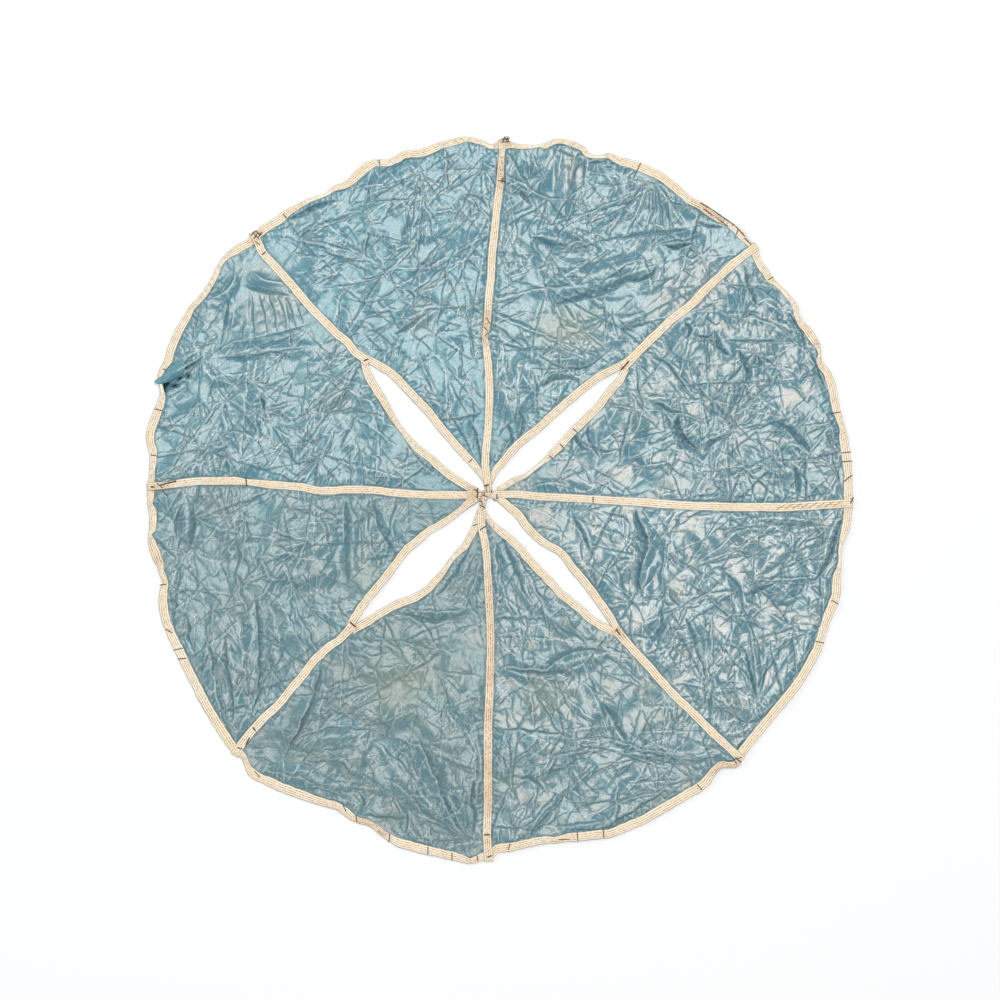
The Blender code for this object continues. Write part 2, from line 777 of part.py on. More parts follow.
def run_lengths(line):
    steps = [np.linalg.norm(after.point - before.point) for before, after in zip(line[:-1], line[1:])]
    return np.concatenate([[0.0], np.cumsum(steps)])


def add_seam_tape(name, line, crown, crosses_above):
    """A seam tape along a line of stations. crown is the crossing's station, or None on a short seam."""
    at = run_lengths(line)
    bottoms = []
    for index, station in enumerate(line):
        if crown is None:
            lift = seam_lift(at[index], at[-1] - at[index], None)
        else:
            lift = seam_lift(min(at[index], at[-1] - at[index]), abs(at[index] - at[crown]), crosses_above)
        bottoms.append(CLOTH_THICKNESS + station.rise + lift)
    left = [station.point + station.left * station.half for station in line]
    right = [station.point - station.left * station.half for station in line]
    return add_tape(name, left, right, bottoms)


def add_rim_tape(gore):
    outer, inner, rises = rim_stations(gore)
    bottoms = [CLOTH_THICKNESS + rise + PIECE_GAP for rise in rises]
    return add_tape(f"rim_tape_{gore}", outer, inner, bottoms)


def add_slot_tape(gore):
    opening, cloth, rises = slot_stations(gore)
    bottoms = [CLOTH_THICKNESS + rise + PIECE_GAP for rise in rises]
    if gore_parts(gore)[3] < 0:
        return add_tape(f"slot_tape_{gore}", opening, cloth, bottoms)
    return add_tape(f"slot_tape_{gore}", cloth, opening, bottoms)


# Gores ----------------------------------------------------------------------------------------------------

def inset(point, toward, amount):
    """A point moved by amount towards another one."""
    step = toward - point
    return point + step * amount / np.linalg.norm(step)


def cut_short(line, crown, reach):
    """The stations further than reach from the crown, and one more put in at that reach."""
    kept = [station for station in line if np.linalg.norm(station.point - crown) > reach]
    last, after = kept[-1], line[len(kept)]
    last_reach = np.linalg.norm(last.point - crown)
    share = (last_reach - reach) / (last_reach - np.linalg.norm(after.point - crown))
    point = last.point + (after.point - last.point) * share
    left = last.left + (after.left - last.left) * share
    return kept + [Station(point, left, last.half, last.rise)]


def gore_outline(gore):
    """Boundary loop of a gore and the lines under its tapes' inner edges, as lists of (point, rise)."""
    arm, arm_sense, diagonal, diagonal_sense = gore_parts(gore)
    opening, cloth, slot_rises = slot_stations(gore)
    outer, inner, rim_rises = rim_stations(gore)
    crown = place(HUB.across, HUB.down)
    tip_reach = np.linalg.norm(opening[-1] - crown)
    seam_end_reach = np.linalg.norm(SEAMS[diagonal][-1].point - crown)

    arm_line = cut_short(SEAMS[arm], crown, tip_reach)
    arm_edge = [(beside(station, arm_sense), station.rise) for station in arm_line[1:]]
    arm_tape = [(station.point + station.left * arm_sense * station.half, station.rise)
                for station in arm_line]
    diagonal_line = SEAMS[diagonal]
    diagonal_edge = [(beside(station, diagonal_sense), station.rise) for station in diagonal_line[1:]]
    diagonal_tape = [(station.point + station.left * diagonal_sense * station.half, station.rise)
                     for station in diagonal_line]
    slot_edge = [(inset(open_point, cloth_point, CLOTH_INSET), rise)
                 for open_point, cloth_point, rise in zip(opening, cloth, slot_rises)
                 if np.linalg.norm(open_point - crown) < seam_end_reach - CLOTH_INSET]
    slot_tape = list(zip(cloth, slot_rises))
    rim_edge = [(inset(outer_point, inner_point, CLOTH_INSET), rise)
                for outer_point, inner_point, rise in zip(outer, inner, rim_rises)]
    rim_tape = list(zip(inner, rim_rises))
    if arm_sense < 0:
        rim_edge = rim_edge[::-1]
        rim_tape = rim_tape[::-1]
    loop = arm_edge[::-1] + rim_edge + diagonal_edge + slot_edge
    return loop, [arm_tape[::-1], rim_tape, diagonal_tape, slot_tape]


def inside(point, polygon):
    """Whether a point is inside a closed polygon."""
    x, y = point
    start = polygon
    end = np.roll(polygon, -1, axis=0)
    crosses = (start[:, 1] > y) != (end[:, 1] > y)
    rise = np.where(crosses, end[:, 1] - start[:, 1], 1.0)
    at = start[:, 0] + (y - start[:, 1]) / rise * (end[:, 0] - start[:, 0])
    return bool(np.count_nonzero(crosses & (x < at)) % 2)


def nearest_edge(point, polygon):
    """The nearest place on a closed polygon: its distance, its edge's index and its share along the edge."""
    start = polygon
    along = np.roll(polygon, -1, axis=0) - start
    length = np.maximum((along ** 2).sum(axis=1), 1e-12)
    share = np.clip(((point - start) * along).sum(axis=1) / length, 0.0, 1.0)
    gaps = np.sqrt(((point - start - along * share[:, None]) ** 2).sum(axis=1))
    index = int(np.argmin(gaps))
    return float(gaps[index]), index, float(share[index])


def fold_frame(fold):
    """Start, direction, sideways direction and length of a fold."""
    start = place(fold.across_0, fold.down_0)
    end = place(fold.across_1, fold.down_1)
    length = np.linalg.norm(end - start)
    along = (end - start) / length
    return start, along, np.array([-along[1], along[0]]), length


def fold_height(fold, point):
    """Height of one fold above the floor at a point: a ridge that fades at its ends and its feet."""
    start, along, aside, length = fold_frame(fold)
    share = np.dot(point - start, along) / length
    if share <= 0 or share >= 1:
        return 0.0
    swell = 4 * share * (1 - share)
    offset = np.dot(point - start, aside) - fold.bow * swell
    taper = min(1.0, FOLD_TAPER * swell)
    return fold.rise * taper * max(0.0, 1 - abs(offset) / (fold.spread * max(taper, NARROWEST_FOLD)))


def fold_lines(fold):
    """The crest and the two feet of a fold, as lists of points."""
    start, along, aside, length = fold_frame(fold)
    lines = []
    for foot in (-1, 0, 1):
        line = []
        for share in FOLD_STOPS:
            swell = 4 * share * (1 - share)
            taper = min(1.0, FOLD_TAPER * swell)
            offset = fold.bow * swell + foot * fold.spread * taper
            line.append(start + along * length * share + aside * offset)
        lines.append(line)
    return lines


class GorePlan:
    """Points and fixed edges that a gore's surface is built on."""

    def __init__(self, gore):
        self.gore = gore
        loop, tape_lines = gore_outline(gore)
        self.points = [point for point, _ in loop]
        self.rises = [rise for _, rise in loop]
        self.loop_size = len(loop)
        self.edges = []
        self.outline = np.array(self.points)
        for line in tape_lines:
            self.add_tape_line(line)
        self.open_outline = np.array([point for line in tape_lines for point, _ in line])
        self.open_rises = [rise for line in tape_lines for _, rise in line]
        self.folds = [fold for fold in FOLDS if fold.gore == gore]
        for fold in self.folds:
            self.add_fold(fold)
        if gore == FLAT_PATCH_GORE:
            self.add_flat_patch()

    def add_tape_line(self, line):
        """The line under a tape's inner edge, where it lies on this gore."""
        previous = None
        for point, rise in line:
            if inside(point, self.outline) and nearest_edge(point, self.outline)[0] > EDGE_CLEARANCE:
                self.points.append(point)
                self.rises.append(rise)
                if previous is not None:
                    self.edges.append((previous, len(self.points) - 1))
                previous = len(self.points) - 1
            else:
                previous = None

    def tape_distance(self, point):
        """Distance from the nearest tape, and the rise there."""
        gap, index, share = nearest_edge(point, self.open_outline)
        after = (index + 1) % len(self.open_rises)
        return gap, self.open_rises[index] * (1 - share) + self.open_rises[after] * share

    def is_free(self, point, clearance):
        """Whether a point lies on the open cloth, clear of the tapes."""
        if not inside(point, self.open_outline) or not inside(point, self.outline):
            return False
        return self.tape_distance(point)[0] > clearance

    def lay(self, point):
        """Height of the cloth's folds at a point, settled to the tape's rise near the tapes."""
        gap, tape_rise = self.tape_distance(point)
        folded = max([fold_height(fold, point) for fold in self.folds] + [0.0])
        share = smoothstep(gap / SETTLE_WIDTH)
        return float(share * folded + (1 - share) * tape_rise)

    def add_fold(self, fold):
        for line in fold_lines(fold):
            previous = None
            for point in line:
                if self.is_free(point, FOLD_CLEARANCE):
                    self.points.append(point)
                    self.rises.append(self.lay(point))
                    if previous is not None:
                        self.edges.append((previous, len(self.points) - 1))
                    previous = len(self.points) - 1
                else:
                    previous = None

    def add_flat_patch(self):
        first = len(self.points)
        for corner in FLAT_PATCH:
            self.points.append(place(corner.across, corner.down))
            self.rises.append(0.0)
        self.edges.extend([(first, first + 1), (first + 1, first + 2), (first + 2, first)])

    def patch_distance(self, point):
        """How far a point is from the middle of the flat patch, or a long way on other gores."""
        if self.gore != FLAT_PATCH_GORE:
            return math.inf
        middle = np.mean([place(corner.across, corner.down) for corner in FLAT_PATCH], axis=0)
        return np.linalg.norm(point - middle)

    def scatter(self):
        """Loose crumple points between the folds, some of them down on the floor."""
        random = np.random.default_rng(SEED + self.gore)
        low = self.outline.min(axis=0)
        high = self.outline.max(axis=0)
        row = 0
        y = low[1]
        while y < high[1]:
            x = low[0] + (row % 2) * SCATTER_STEP / 2
            while x < high[0]:
                nudge = random.uniform(-SCATTER_NUDGE, SCATTER_NUDGE, 2) * SCATTER_STEP
                rise = random.uniform(0.0, SCATTER_RISE)
                flat = random.random() < SCATTER_FLAT_SHARE
                point = np.array([x, y]) + nudge
                x += SCATTER_STEP
                if not self.is_free(point, SCATTER_CLEARANCE / 2):
                    continue
                gaps = np.sqrt(((np.array(self.points) - point) ** 2).sum(axis=1))
                if gaps.min() < SCATTER_CLEARANCE or self.patch_distance(point) < PATCH_REACH:
                    continue
                self.points.append(point)
                self.rises.append(self.lay(point) + (0.0 if flat else rise * self.looseness(point)))
            y += SCATTER_STEP * SCATTER_ROW_SHARE
            row += 1

    def looseness(self, point):
        """How freely the cloth crumples at a point: less beside the tapes."""
        return float(smoothstep(self.tape_distance(point)[0] / SCATTER_LOOSE_WIDTH))




def middle_of(triangle, places):
    """Middle of a triangle in plan."""
    return np.mean([places[corner] for corner in triangle], axis=0)


def add_gore(gore):
    """A gore: its plan is cut into triangles and given the cloth's thickness downwards."""
    plan = GorePlan(gore)
    plan.scatter()
    flat = [Vector(point) for point in plan.points]
    border = [(index, (index + 1) % plan.loop_size) for index in range(plan.loop_size)]
    result = delaunay_2d_cdt(flat, border + plan.edges, [], WHOLE_HULL, SAME_POINT, True)
    places, sources = result[0], result[3]
    triangles = [triangle for triangle in result[2] if inside(middle_of(triangle, places), plan.outline)]
    heights = []
    for spot, source in zip(places, sources):
        if source:
            heights.append(plan.rises[source[0]])
        else:
            heights.append(plan.lay(np.array(spot)))
    count = len(places)
    vertices = [(spot.x, spot.y, height + CLOTH_THICKNESS) for spot, height in zip(places, heights)]
    vertices += [(spot.x, spot.y, height) for spot, height in zip(places, heights)]
    faces = []
    borders = {}
    for triangle in triangles:
        a, b, c = triangle
        ab = places[b] - places[a]
        ac = places[c] - places[a]
        if ab.x * ac.y - ab.y * ac.x < 0:
            b, c = c, b
        faces.append((a, b, c))
        faces.append((c + count, b + count, a + count))
        for start, end in ((a, b), (b, c), (c, a)):
            if (end, start) in borders:
                del borders[(end, start)]
            else:
                borders[(start, end)] = True
    for start, end in borders:
        faces.append((end, start, start + count, end + count))
    return add_solid(f"gore_{gore}", vertices, faces, CLOTH_COLOUR, CLOTH_ROUGHNESS)


def centre_on_floor():
    """Moves the whole canopy so that its box stands centred on the origin."""
    corners = np.array([vertex.co for solid in bpy.data.objects for vertex in solid.data.vertices])
    low = corners.min(axis=0)
    high = corners.max(axis=0)
    shift = Vector((-(low[0] + high[0]) / 2, -(low[1] + high[1]) / 2, -low[2]))
    for solid in bpy.data.objects:
        for vertex in solid.data.vertices:
            vertex.co += shift


def main():
    for existing in list(bpy.data.objects):
        bpy.data.objects.remove(existing, do_unlink=True)
    for gore in sorted(RIM):
        add_gore(gore)
        add_rim_tape(gore)
        add_slot_tape(gore)
    add_seam_tape("seam_tape_ns", NS_LINE, NS_CROWN, True)
    add_seam_tape("seam_tape_ew", EW_LINE, EW_CROWN, False)
    for seam in DIAGONALS:
        add_seam_tape(f"seam_tape_{seam}", SEAMS[seam], None, None)
    centre_on_floor()


main()
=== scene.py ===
"""The looks of a small round slotted parachute canopy that lies spread on a pale floor, seen from above.

Plan places in the tables are read on a square pattern grid, GRID metres to a square, with across to the right
and down towards the near edge. Widths and rises of creases are in mm, and all other sizes are in metres.
"""

import math
from collections import namedtuple

import bpy
import numpy as np
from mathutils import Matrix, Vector
from mathutils.geometry import delaunay_2d_cdt


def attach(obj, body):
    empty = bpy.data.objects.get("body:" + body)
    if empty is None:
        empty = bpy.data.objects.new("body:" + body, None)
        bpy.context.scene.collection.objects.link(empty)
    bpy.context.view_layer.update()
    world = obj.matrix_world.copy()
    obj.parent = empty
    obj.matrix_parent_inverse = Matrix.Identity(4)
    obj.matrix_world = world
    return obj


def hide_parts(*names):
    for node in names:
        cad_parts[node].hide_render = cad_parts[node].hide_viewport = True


MM = 0.001
GRID = 0.0015
GRID_MIDDLE = 500
SHIFT = (-0.00085, 0.00035)
HUB_SQUARE = (485, 494)

# A full turn in waves and in warps, rounded, and the numbers that turn a place into a fixed random number.
TURN, WARP_TURN = 6.283, 6.28
HASH_STEPS, HASH_SCALE = (127.1, 311.7, 74.7), 43758.5453

# The height field, and the edge distance that stands for no crease line nearby.
CELL = 0.001
HALF_FIELD = 0.58
CELLS = int(2 * HALF_FIELD / CELL)
NO_EDGE = 0.02

# Cloth and tape. The cloth keeps a share of the solids' folds, softened and lifted a little, and bends off
# the floor where it would sink. Long seams run from rim to rim and meet their slots in the first HUB_ROWS
# rows from the hub. SEAM_RING names the seam before each gore.
CLOTH = 0.0012
CLOTH_STEP = 0.00145
KEPT_FOLDS = 0.8
FOLD_BLUR = 0.007
LIFT = 0.0022
FLOOR_GAP = 0.0004
FLOOR_BEND = 0.0012
TAPE = 0.0009
TAPE_STEP = 0.0020
TAPE_ACROSS = 6
TAPE_SIDE = 0.034
TAPE_APART = 3.7
HELD_LIMIT = 0.0075
SEWN_GAP = 0.0003
OUTLINE_STEP = 0.0010
HUB_ROWS = 60
SEAM_RING = ("ns", "ne", "ew", "se", "ns", "sw", "ew", "nw")
LONG_SEAMS = ("ew", "ns")

# Fine crumple: tilted plates under webs of creases. Each place of a web's lattice is moved by up to half of
# STAR_LOOSE spacings and is a star, a fork or the start of one crease. A crease is SHALLOW times as wide on
# its gentle side as on its steep side, and its line is noted FADE further away where it fades out.
CANOPY_REACH = 0.56
PLATE_SIZE = 0.030
PLATE_TALL = 0.0032
PLATE_LOOSE = 0.8
STAR_LOOSE = 0.9
STAR_SHARE, STAR_RAYS = 0.22, 7
FORK_SHARE, FORK_RAYS = 0.6, 3
RIDGE_SHARE = 0.62
RAY_SPREAD = math.radians(80)
GRAIN_REACH = 0.045
SHALLOW = 12.0
FADE = 0.004

# Listed creases: their step along the path, and how far their shallow side reaches in widths.
CREASE_STEP = 0.006
CREASE_SHALLOW = 3.2

# The stage.
FLOOR_REACH = 6
CAMERA_HEIGHT = 6.0
LENS_MM, SENSOR_MM = 144, 36
SKY_COLOUR, SKY_STRENGTH = (0.95, 0.98, 1.0, 1), 0.33
Light = namedtuple("Light", "name spot size power colour")
LIGHTS = [Light("key", (0.8, 0.9, 8.0), 4.0, 472, (1.0, 0.97, 0.935)),
          Light("fill", (-2.6, 1.6, 3.0), 1.6, 25, (1.0, 1.0, 1.0))]

# Rim tape middles by gore, clockwise from the top seam: across, down, width, all in pattern squares.
RIM = {
    1: (502, 147, 7, 510, 145.5, 6, 520, 147, 5, 530, 147, 4.5, 535, 147, 3, 540, 146, 3, 545, 146, 6,
        551, 144, 5, 556, 142, 5, 563, 142, 5, 570, 144, 5.5, 577, 146.5, 5.5, 583, 149.5, 5.5,
        586, 154.5, 5, 592, 157, 3.5, 600, 157.5, 3, 605, 156.5, 4.5, 610, 156.5, 6, 620, 161.5, 8,
        630, 164, 8.5, 640, 167.5, 9, 650, 172, 9, 660, 176.5, 8.5, 670, 184, 8.5, 680, 192.5, 8.5,
        690, 201, 7.5, 700, 206, 8, 710, 213, 8, 718, 219.5, 6, 727, 224, 5, 734, 229, 6.5, 740, 233.5, 9,
        746, 241, 6, 753, 247, 7),
    2: (754, 250, 8, 758, 262, 7, 765, 272, 7.5, 769, 278.5, 7, 775, 284, 4.5, 782, 290.5, 4.5, 790, 300, 5,
        795, 308, 6, 796, 315, 5.5, 800, 322.5, 6.5, 807, 331, 8, 813, 339.5, 8, 817.5, 347, 5.5,
        819, 354, 3, 818.5, 360, 5.5, 821, 366, 7, 826, 372, 7, 829.5, 381, 8.5, 832.5, 391, 8.5,
        834, 401, 8, 836, 410, 8, 839, 419.5, 6.5, 842, 429, 6, 843, 437, 9, 844.5, 447, 9, 846, 457, 9,
        847, 467, 9, 848, 477, 8, 847.5, 487, 9, 848.5, 503, 9),
    3: (848.5, 503, 9, 847, 515, 8, 846, 525, 8.5, 843.5, 535, 7.5, 840.5, 543, 4, 839.5, 552, 3.5,
        839.5, 560, 3, 838.5, 568, 5, 836.5, 577, 8.5, 836, 587, 9, 835, 596, 9, 831, 607, 9, 827.5, 616, 9,
        824, 626, 8.5, 820.5, 637, 8.5, 817.5, 647, 9, 812, 658, 9, 806, 669, 9, 800, 679, 9, 792, 690, 9,
        783, 701, 9, 774, 712, 9, 764, 724, 9, 755, 735, 9, 746, 746, 9, 738, 757, 8),
    4: (739, 761, 8, 735, 764, 7, 729, 764.5, 6, 721, 764.5, 7, 715, 769, 7.5, 710, 775, 8, 706, 781, 9,
        699, 787, 9, 690, 792, 9, 680, 798, 9, 668, 805, 9, 656, 812, 9, 644, 819, 9, 632, 824, 9,
        620, 829, 9, 610, 833, 8.5, 600, 834, 9, 590, 835, 9, 578, 836.5, 9, 568, 837, 8, 556, 839.5, 6.5,
        545, 839.5, 7.5, 534, 841.5, 8, 524, 843.5, 8, 514, 846, 8, 504, 847.5, 9, 497, 848.5, 8.5,
        489, 856, 8),
    5: (491, 857, 8, 484, 856, 7.5, 477, 858.5, 7, 470, 860.5, 5.5, 463, 858.5, 7.5, 455, 856, 8.5,
        445, 854, 8.5, 433, 851, 8.5, 420, 848, 9, 410, 845, 9, 400, 842.5, 9, 392, 838.5, 7, 385, 834, 6.5,
        378, 828.5, 6, 372, 824, 5.5, 366, 821.5, 6, 359, 820, 6, 352, 816.5, 7, 345, 810.5, 8, 338, 806, 7,
        328, 803, 7.5, 318, 800, 7.5, 306, 796, 9, 294, 791.5, 9, 282, 787, 9, 270, 781.5, 9, 260, 777.5, 8,
        253, 773, 8.5, 249, 767.5, 6.5, 246, 761, 5.5, 243, 755, 6, 237, 750, 8),
    6: (236, 750, 8.5, 230, 742, 8.5, 224, 733, 9, 217, 722, 9, 210, 710, 9, 203, 698, 9, 197, 686, 9,
        191, 674, 9, 185, 661.5, 9, 180, 651, 9, 175, 641, 9, 171, 632, 8.5, 167, 621.5, 8.5, 164.5, 611, 9,
        163.5, 601, 8.5, 164, 591, 8, 166, 584, 5.5, 164, 577, 6, 161.5, 570, 6, 161, 565, 7, 158, 559, 9,
        154.5, 549, 9, 151.5, 540, 6.5, 150.5, 534, 3.5, 153, 529, 6.5, 153.5, 520, 7.5, 153, 512, 7.5,
        150.5, 504, 5.5, 151, 495, 7, 151, 486, 8),
    7: (151, 487, 8, 152, 478, 6, 152.5, 470, 6, 153.5, 460, 7, 153.5, 452, 8, 151, 443, 8, 150.5, 434, 8.5,
        153, 425, 9, 157, 415, 8.5, 160.5, 405, 8, 163, 397, 6, 162.5, 391, 4, 161, 382, 3, 161, 374, 5,
        165, 367, 6, 169, 360, 8, 171.5, 350, 8, 176, 339, 8, 181, 328, 8, 187, 318, 7.5, 192, 308.5, 6,
        199, 301, 6, 206, 292.5, 6, 212, 283, 5.5, 217, 273, 5.5, 221, 264, 4.5, 227, 257, 5.5, 234, 252, 8,
        242, 247, 8.5, 250, 242.5, 8, 257, 237, 8),
    8: (257, 236, 8, 263, 230.5, 8.5, 270, 225.5, 8.5, 281, 219, 8.5, 289, 212, 7, 300, 205.5, 5.5,
        310, 200.5, 4.5, 320, 197, 3.5, 327, 194.5, 3, 335, 189, 5, 343.5, 186, 7, 352, 181, 8,
        360, 173.5, 9, 367, 167.5, 9, 376, 163, 7.5, 385, 163.5, 7, 393, 161.5, 7, 400, 158, 8,
        405, 155, 7.5, 420, 153.5, 8, 430, 150.5, 8.5, 440, 146, 7, 450, 143.5, 7, 460, 141, 6.5,
        467, 139.5, 5, 475, 141, 5.5, 482, 143, 5, 490, 147, 4.5, 497, 146, 6, 503, 146, 7),
}

# Seam tape middles by the side to which they run, and slot tape middles by gore, with the same columns.
SEAMS = {
    "ne": (757, 246, 8.5, 745, 255, 8, 732, 265, 8.5, 721, 275, 8, 710, 285, 8, 702, 293, 8.5,
        694, 302, 8.5, 683, 311, 8.5, 672, 319, 8.5, 661, 330, 8.5, 650, 340, 8.5, 642, 348, 8.5,
        635, 355, 8.5, 628, 362, 9.5, 623, 367, 11),
    "se": (742, 760, 8, 728, 747, 8, 714, 734, 8.5, 701, 721, 8.5, 689, 709, 8.5, 676, 697, 8.5,
        664, 684, 8.5, 656, 675, 8.5, 649, 666.5, 8.5, 639, 656, 8.5, 629, 645, 8.5, 622, 637, 9.5,
        617, 631, 10),
    "sw": (235, 755, 9, 244, 741, 8.5, 254, 729, 8.5, 266, 716, 8.5, 279, 704, 8.5, 291, 689, 8.5,
        304, 674, 8.5, 312, 663, 8.5, 321, 654, 8.5, 330, 646, 8, 339, 640, 8, 347, 632, 8.5, 353, 625, 10),
    "nw": (253, 232, 9, 259, 244, 8.5, 263, 253, 8.5, 275, 266, 8.5, 287.5, 280, 8.5, 301, 296, 8.5,
        314, 311, 8.5, 325, 322, 8.5, 336, 333, 8.5, 347, 342, 8.5, 355, 352, 8.5, 362, 357, 8.5,
        369, 363, 9.5),
    "ew": (852, 503, 8.5, 838, 504, 8.5, 813, 505.5, 8.5, 788, 507, 8.5, 762, 507, 8.5, 739, 507, 8.5,
        715, 506.5, 8.5, 689, 505.5, 8.5, 664, 504, 8.5, 639, 502, 8.5, 620, 501, 8, 602, 500, 8,
        580, 498.5, 8, 560, 497.5, 8, 540, 496.5, 8, 520, 494.5, 8, 510, 494.2, 7.5, 500, 494.2, 7.5,
        491, 494.3, 7.5, 484, 494.3, 7, 476, 494.5, 8, 465, 495, 8, 448, 495, 8, 430, 495, 8, 413, 494, 8,
        397, 493, 8, 372, 490, 8, 348, 489.5, 8, 333, 490.5, 8, 319, 490.5, 8, 309, 488.5, 8, 300, 487, 8,
        275, 485, 8, 260, 483.5, 7.5, 246, 482, 6.5, 237, 481, 8, 227, 481, 8, 203, 481, 8, 190, 482, 8,
        178, 483.5, 7.5, 166, 485.5, 7, 155, 486, 8, 147.5, 486.5, 8),
    "ns": (502, 140, 8, 502, 150, 6.5, 501, 164, 6.5, 500, 183, 7.5, 498, 200, 8, 496, 217, 8, 494, 237, 8,
        492, 256, 8, 491, 278, 8, 489, 295, 8, 487.5, 321, 7.5, 485.5, 332, 6.5, 485, 338, 6,
        486.5, 350, 7.5, 488.5, 370, 8, 489.3, 390, 8, 489, 410, 8, 488, 430, 8, 486, 450, 8, 485.5, 465, 8,
        487, 478, 7.5, 488, 486, 7, 487.3, 493, 6.5, 484, 499, 6, 482.5, 506, 6.5, 481.5, 513, 7.5,
        481.5, 522, 8, 482.5, 531, 8, 484.5, 540, 8, 486, 550, 8, 487, 560, 8, 488, 580, 8, 489, 600, 8,
        490, 620, 8, 490.5, 640, 8, 490.5, 654, 8, 489.5, 691, 8.5, 488, 729, 8.5, 488, 766, 8.5,
        488, 803, 8.5, 487, 828, 8.5, 487.5, 845, 8.5, 489, 861, 9),
}
SLOTS = {
    1: (626, 362, 5, 623, 364, 7, 610, 371, 8, 600, 376, 8, 590, 383, 8, 580, 391, 8, 570, 399.5, 8,
        560, 408, 8, 550, 417, 8, 540, 426.5, 8, 530, 434.5, 8, 519, 443.5, 8, 511, 452, 8, 503, 461.5, 7.5,
        496, 469.5, 7, 492, 478, 5.5, 490, 484, 4),
    2: (627, 366, 5, 625, 371, 7, 620, 380, 8, 613, 388, 8, 607, 395, 8, 600, 404.5, 8, 590, 415, 8,
        580, 425, 8, 570, 434.5, 8, 563, 443, 8, 556, 450, 7.5, 549, 457, 6, 542, 463, 4, 533, 470, 3.5,
        525, 476, 4.5, 515, 480, 5.5, 507, 485, 6, 498, 490, 5.5),
    3: (620, 634, 5, 616, 627, 7, 610, 617, 8, 604, 608, 8, 596, 597, 8, 588, 586, 8, 580, 576, 8,
        573, 568, 8, 566, 558, 7.5, 560, 551.5, 7.5, 550, 546, 7.5, 540, 539.5, 8, 532, 532, 8, 525, 524, 8,
        519, 515, 8, 512, 509, 8, 505, 503, 7.5, 498, 498, 6),
    4: (619, 637, 5, 614, 632, 7, 610, 630, 8, 600, 625, 8, 590, 618.5, 8, 580, 609, 8, 570, 601, 8,
        560, 593, 8, 550, 582, 8, 540, 571.5, 8, 530, 561, 8, 521, 550, 8, 512, 541, 8, 503, 533.5, 7.5,
        494, 526, 6, 487, 517, 4.5, 484, 511, 3.5),
    5: (352, 632, 5, 357, 628, 7, 363, 624.5, 8, 372, 619, 8, 382, 612.5, 8, 390, 608, 8, 398, 604, 8,
        408, 600.5, 8, 418, 596, 8, 427, 590, 7.5, 434, 583, 7, 441, 575, 6, 447, 567, 5, 452, 559.5, 4.5,
        460, 551, 6, 466, 545, 7, 470, 537, 7, 475, 528, 7, 477, 519, 6, 480, 510, 5),
    6: (347, 632, 5, 350, 626, 7, 353, 620, 8, 357, 614, 8, 362, 606, 8, 370, 596, 8, 378, 586, 8,
        386, 576.5, 8, 394, 566, 8, 401, 556.5, 8, 408, 548, 8, 418, 540, 8, 428, 531.5, 7.5, 440, 524.5, 7,
        450, 518, 6.5, 463, 508, 6.5, 471, 502, 8.5, 478, 497.5, 7),
    7: (360, 357, 5, 364, 362, 7, 368, 375, 8, 374, 386, 8, 381, 397, 7.5, 388, 409, 6.5, 393, 418, 5.5,
        399, 427, 4.5, 405, 434.5, 5, 412, 443, 6.5, 419, 450, 7.5, 430, 458, 8, 440, 467.5, 8,
        450, 475.5, 8, 460, 482, 8, 468, 487, 7, 478, 491, 5.5),
    8: (363, 355, 5, 368, 359, 7, 380, 366, 8, 390, 372, 8, 400, 381, 8, 410, 392, 8, 420, 402.5, 8,
        430, 413, 8, 440, 426, 8, 450, 438, 8, 460, 449.5, 8, 470, 460, 8, 478, 469.5, 7, 484, 478, 5.5,
        487, 484, 4),
}

# A fold of cloth out over the left rim, and the cut end of a tape at the crown, with the same columns.
FLAP = (155.5, 382, 2, 158.5, 381.5, 5, 164, 379.5, 8, 170, 375.5, 11, 177, 370.5, 13, 185, 366, 13,
        193, 362, 10, 200, 358, 5)
STUB = (464.5, 506.5, 8, 468, 503.5, 8, 472, 500.5, 8, 477, 497.5, 7)

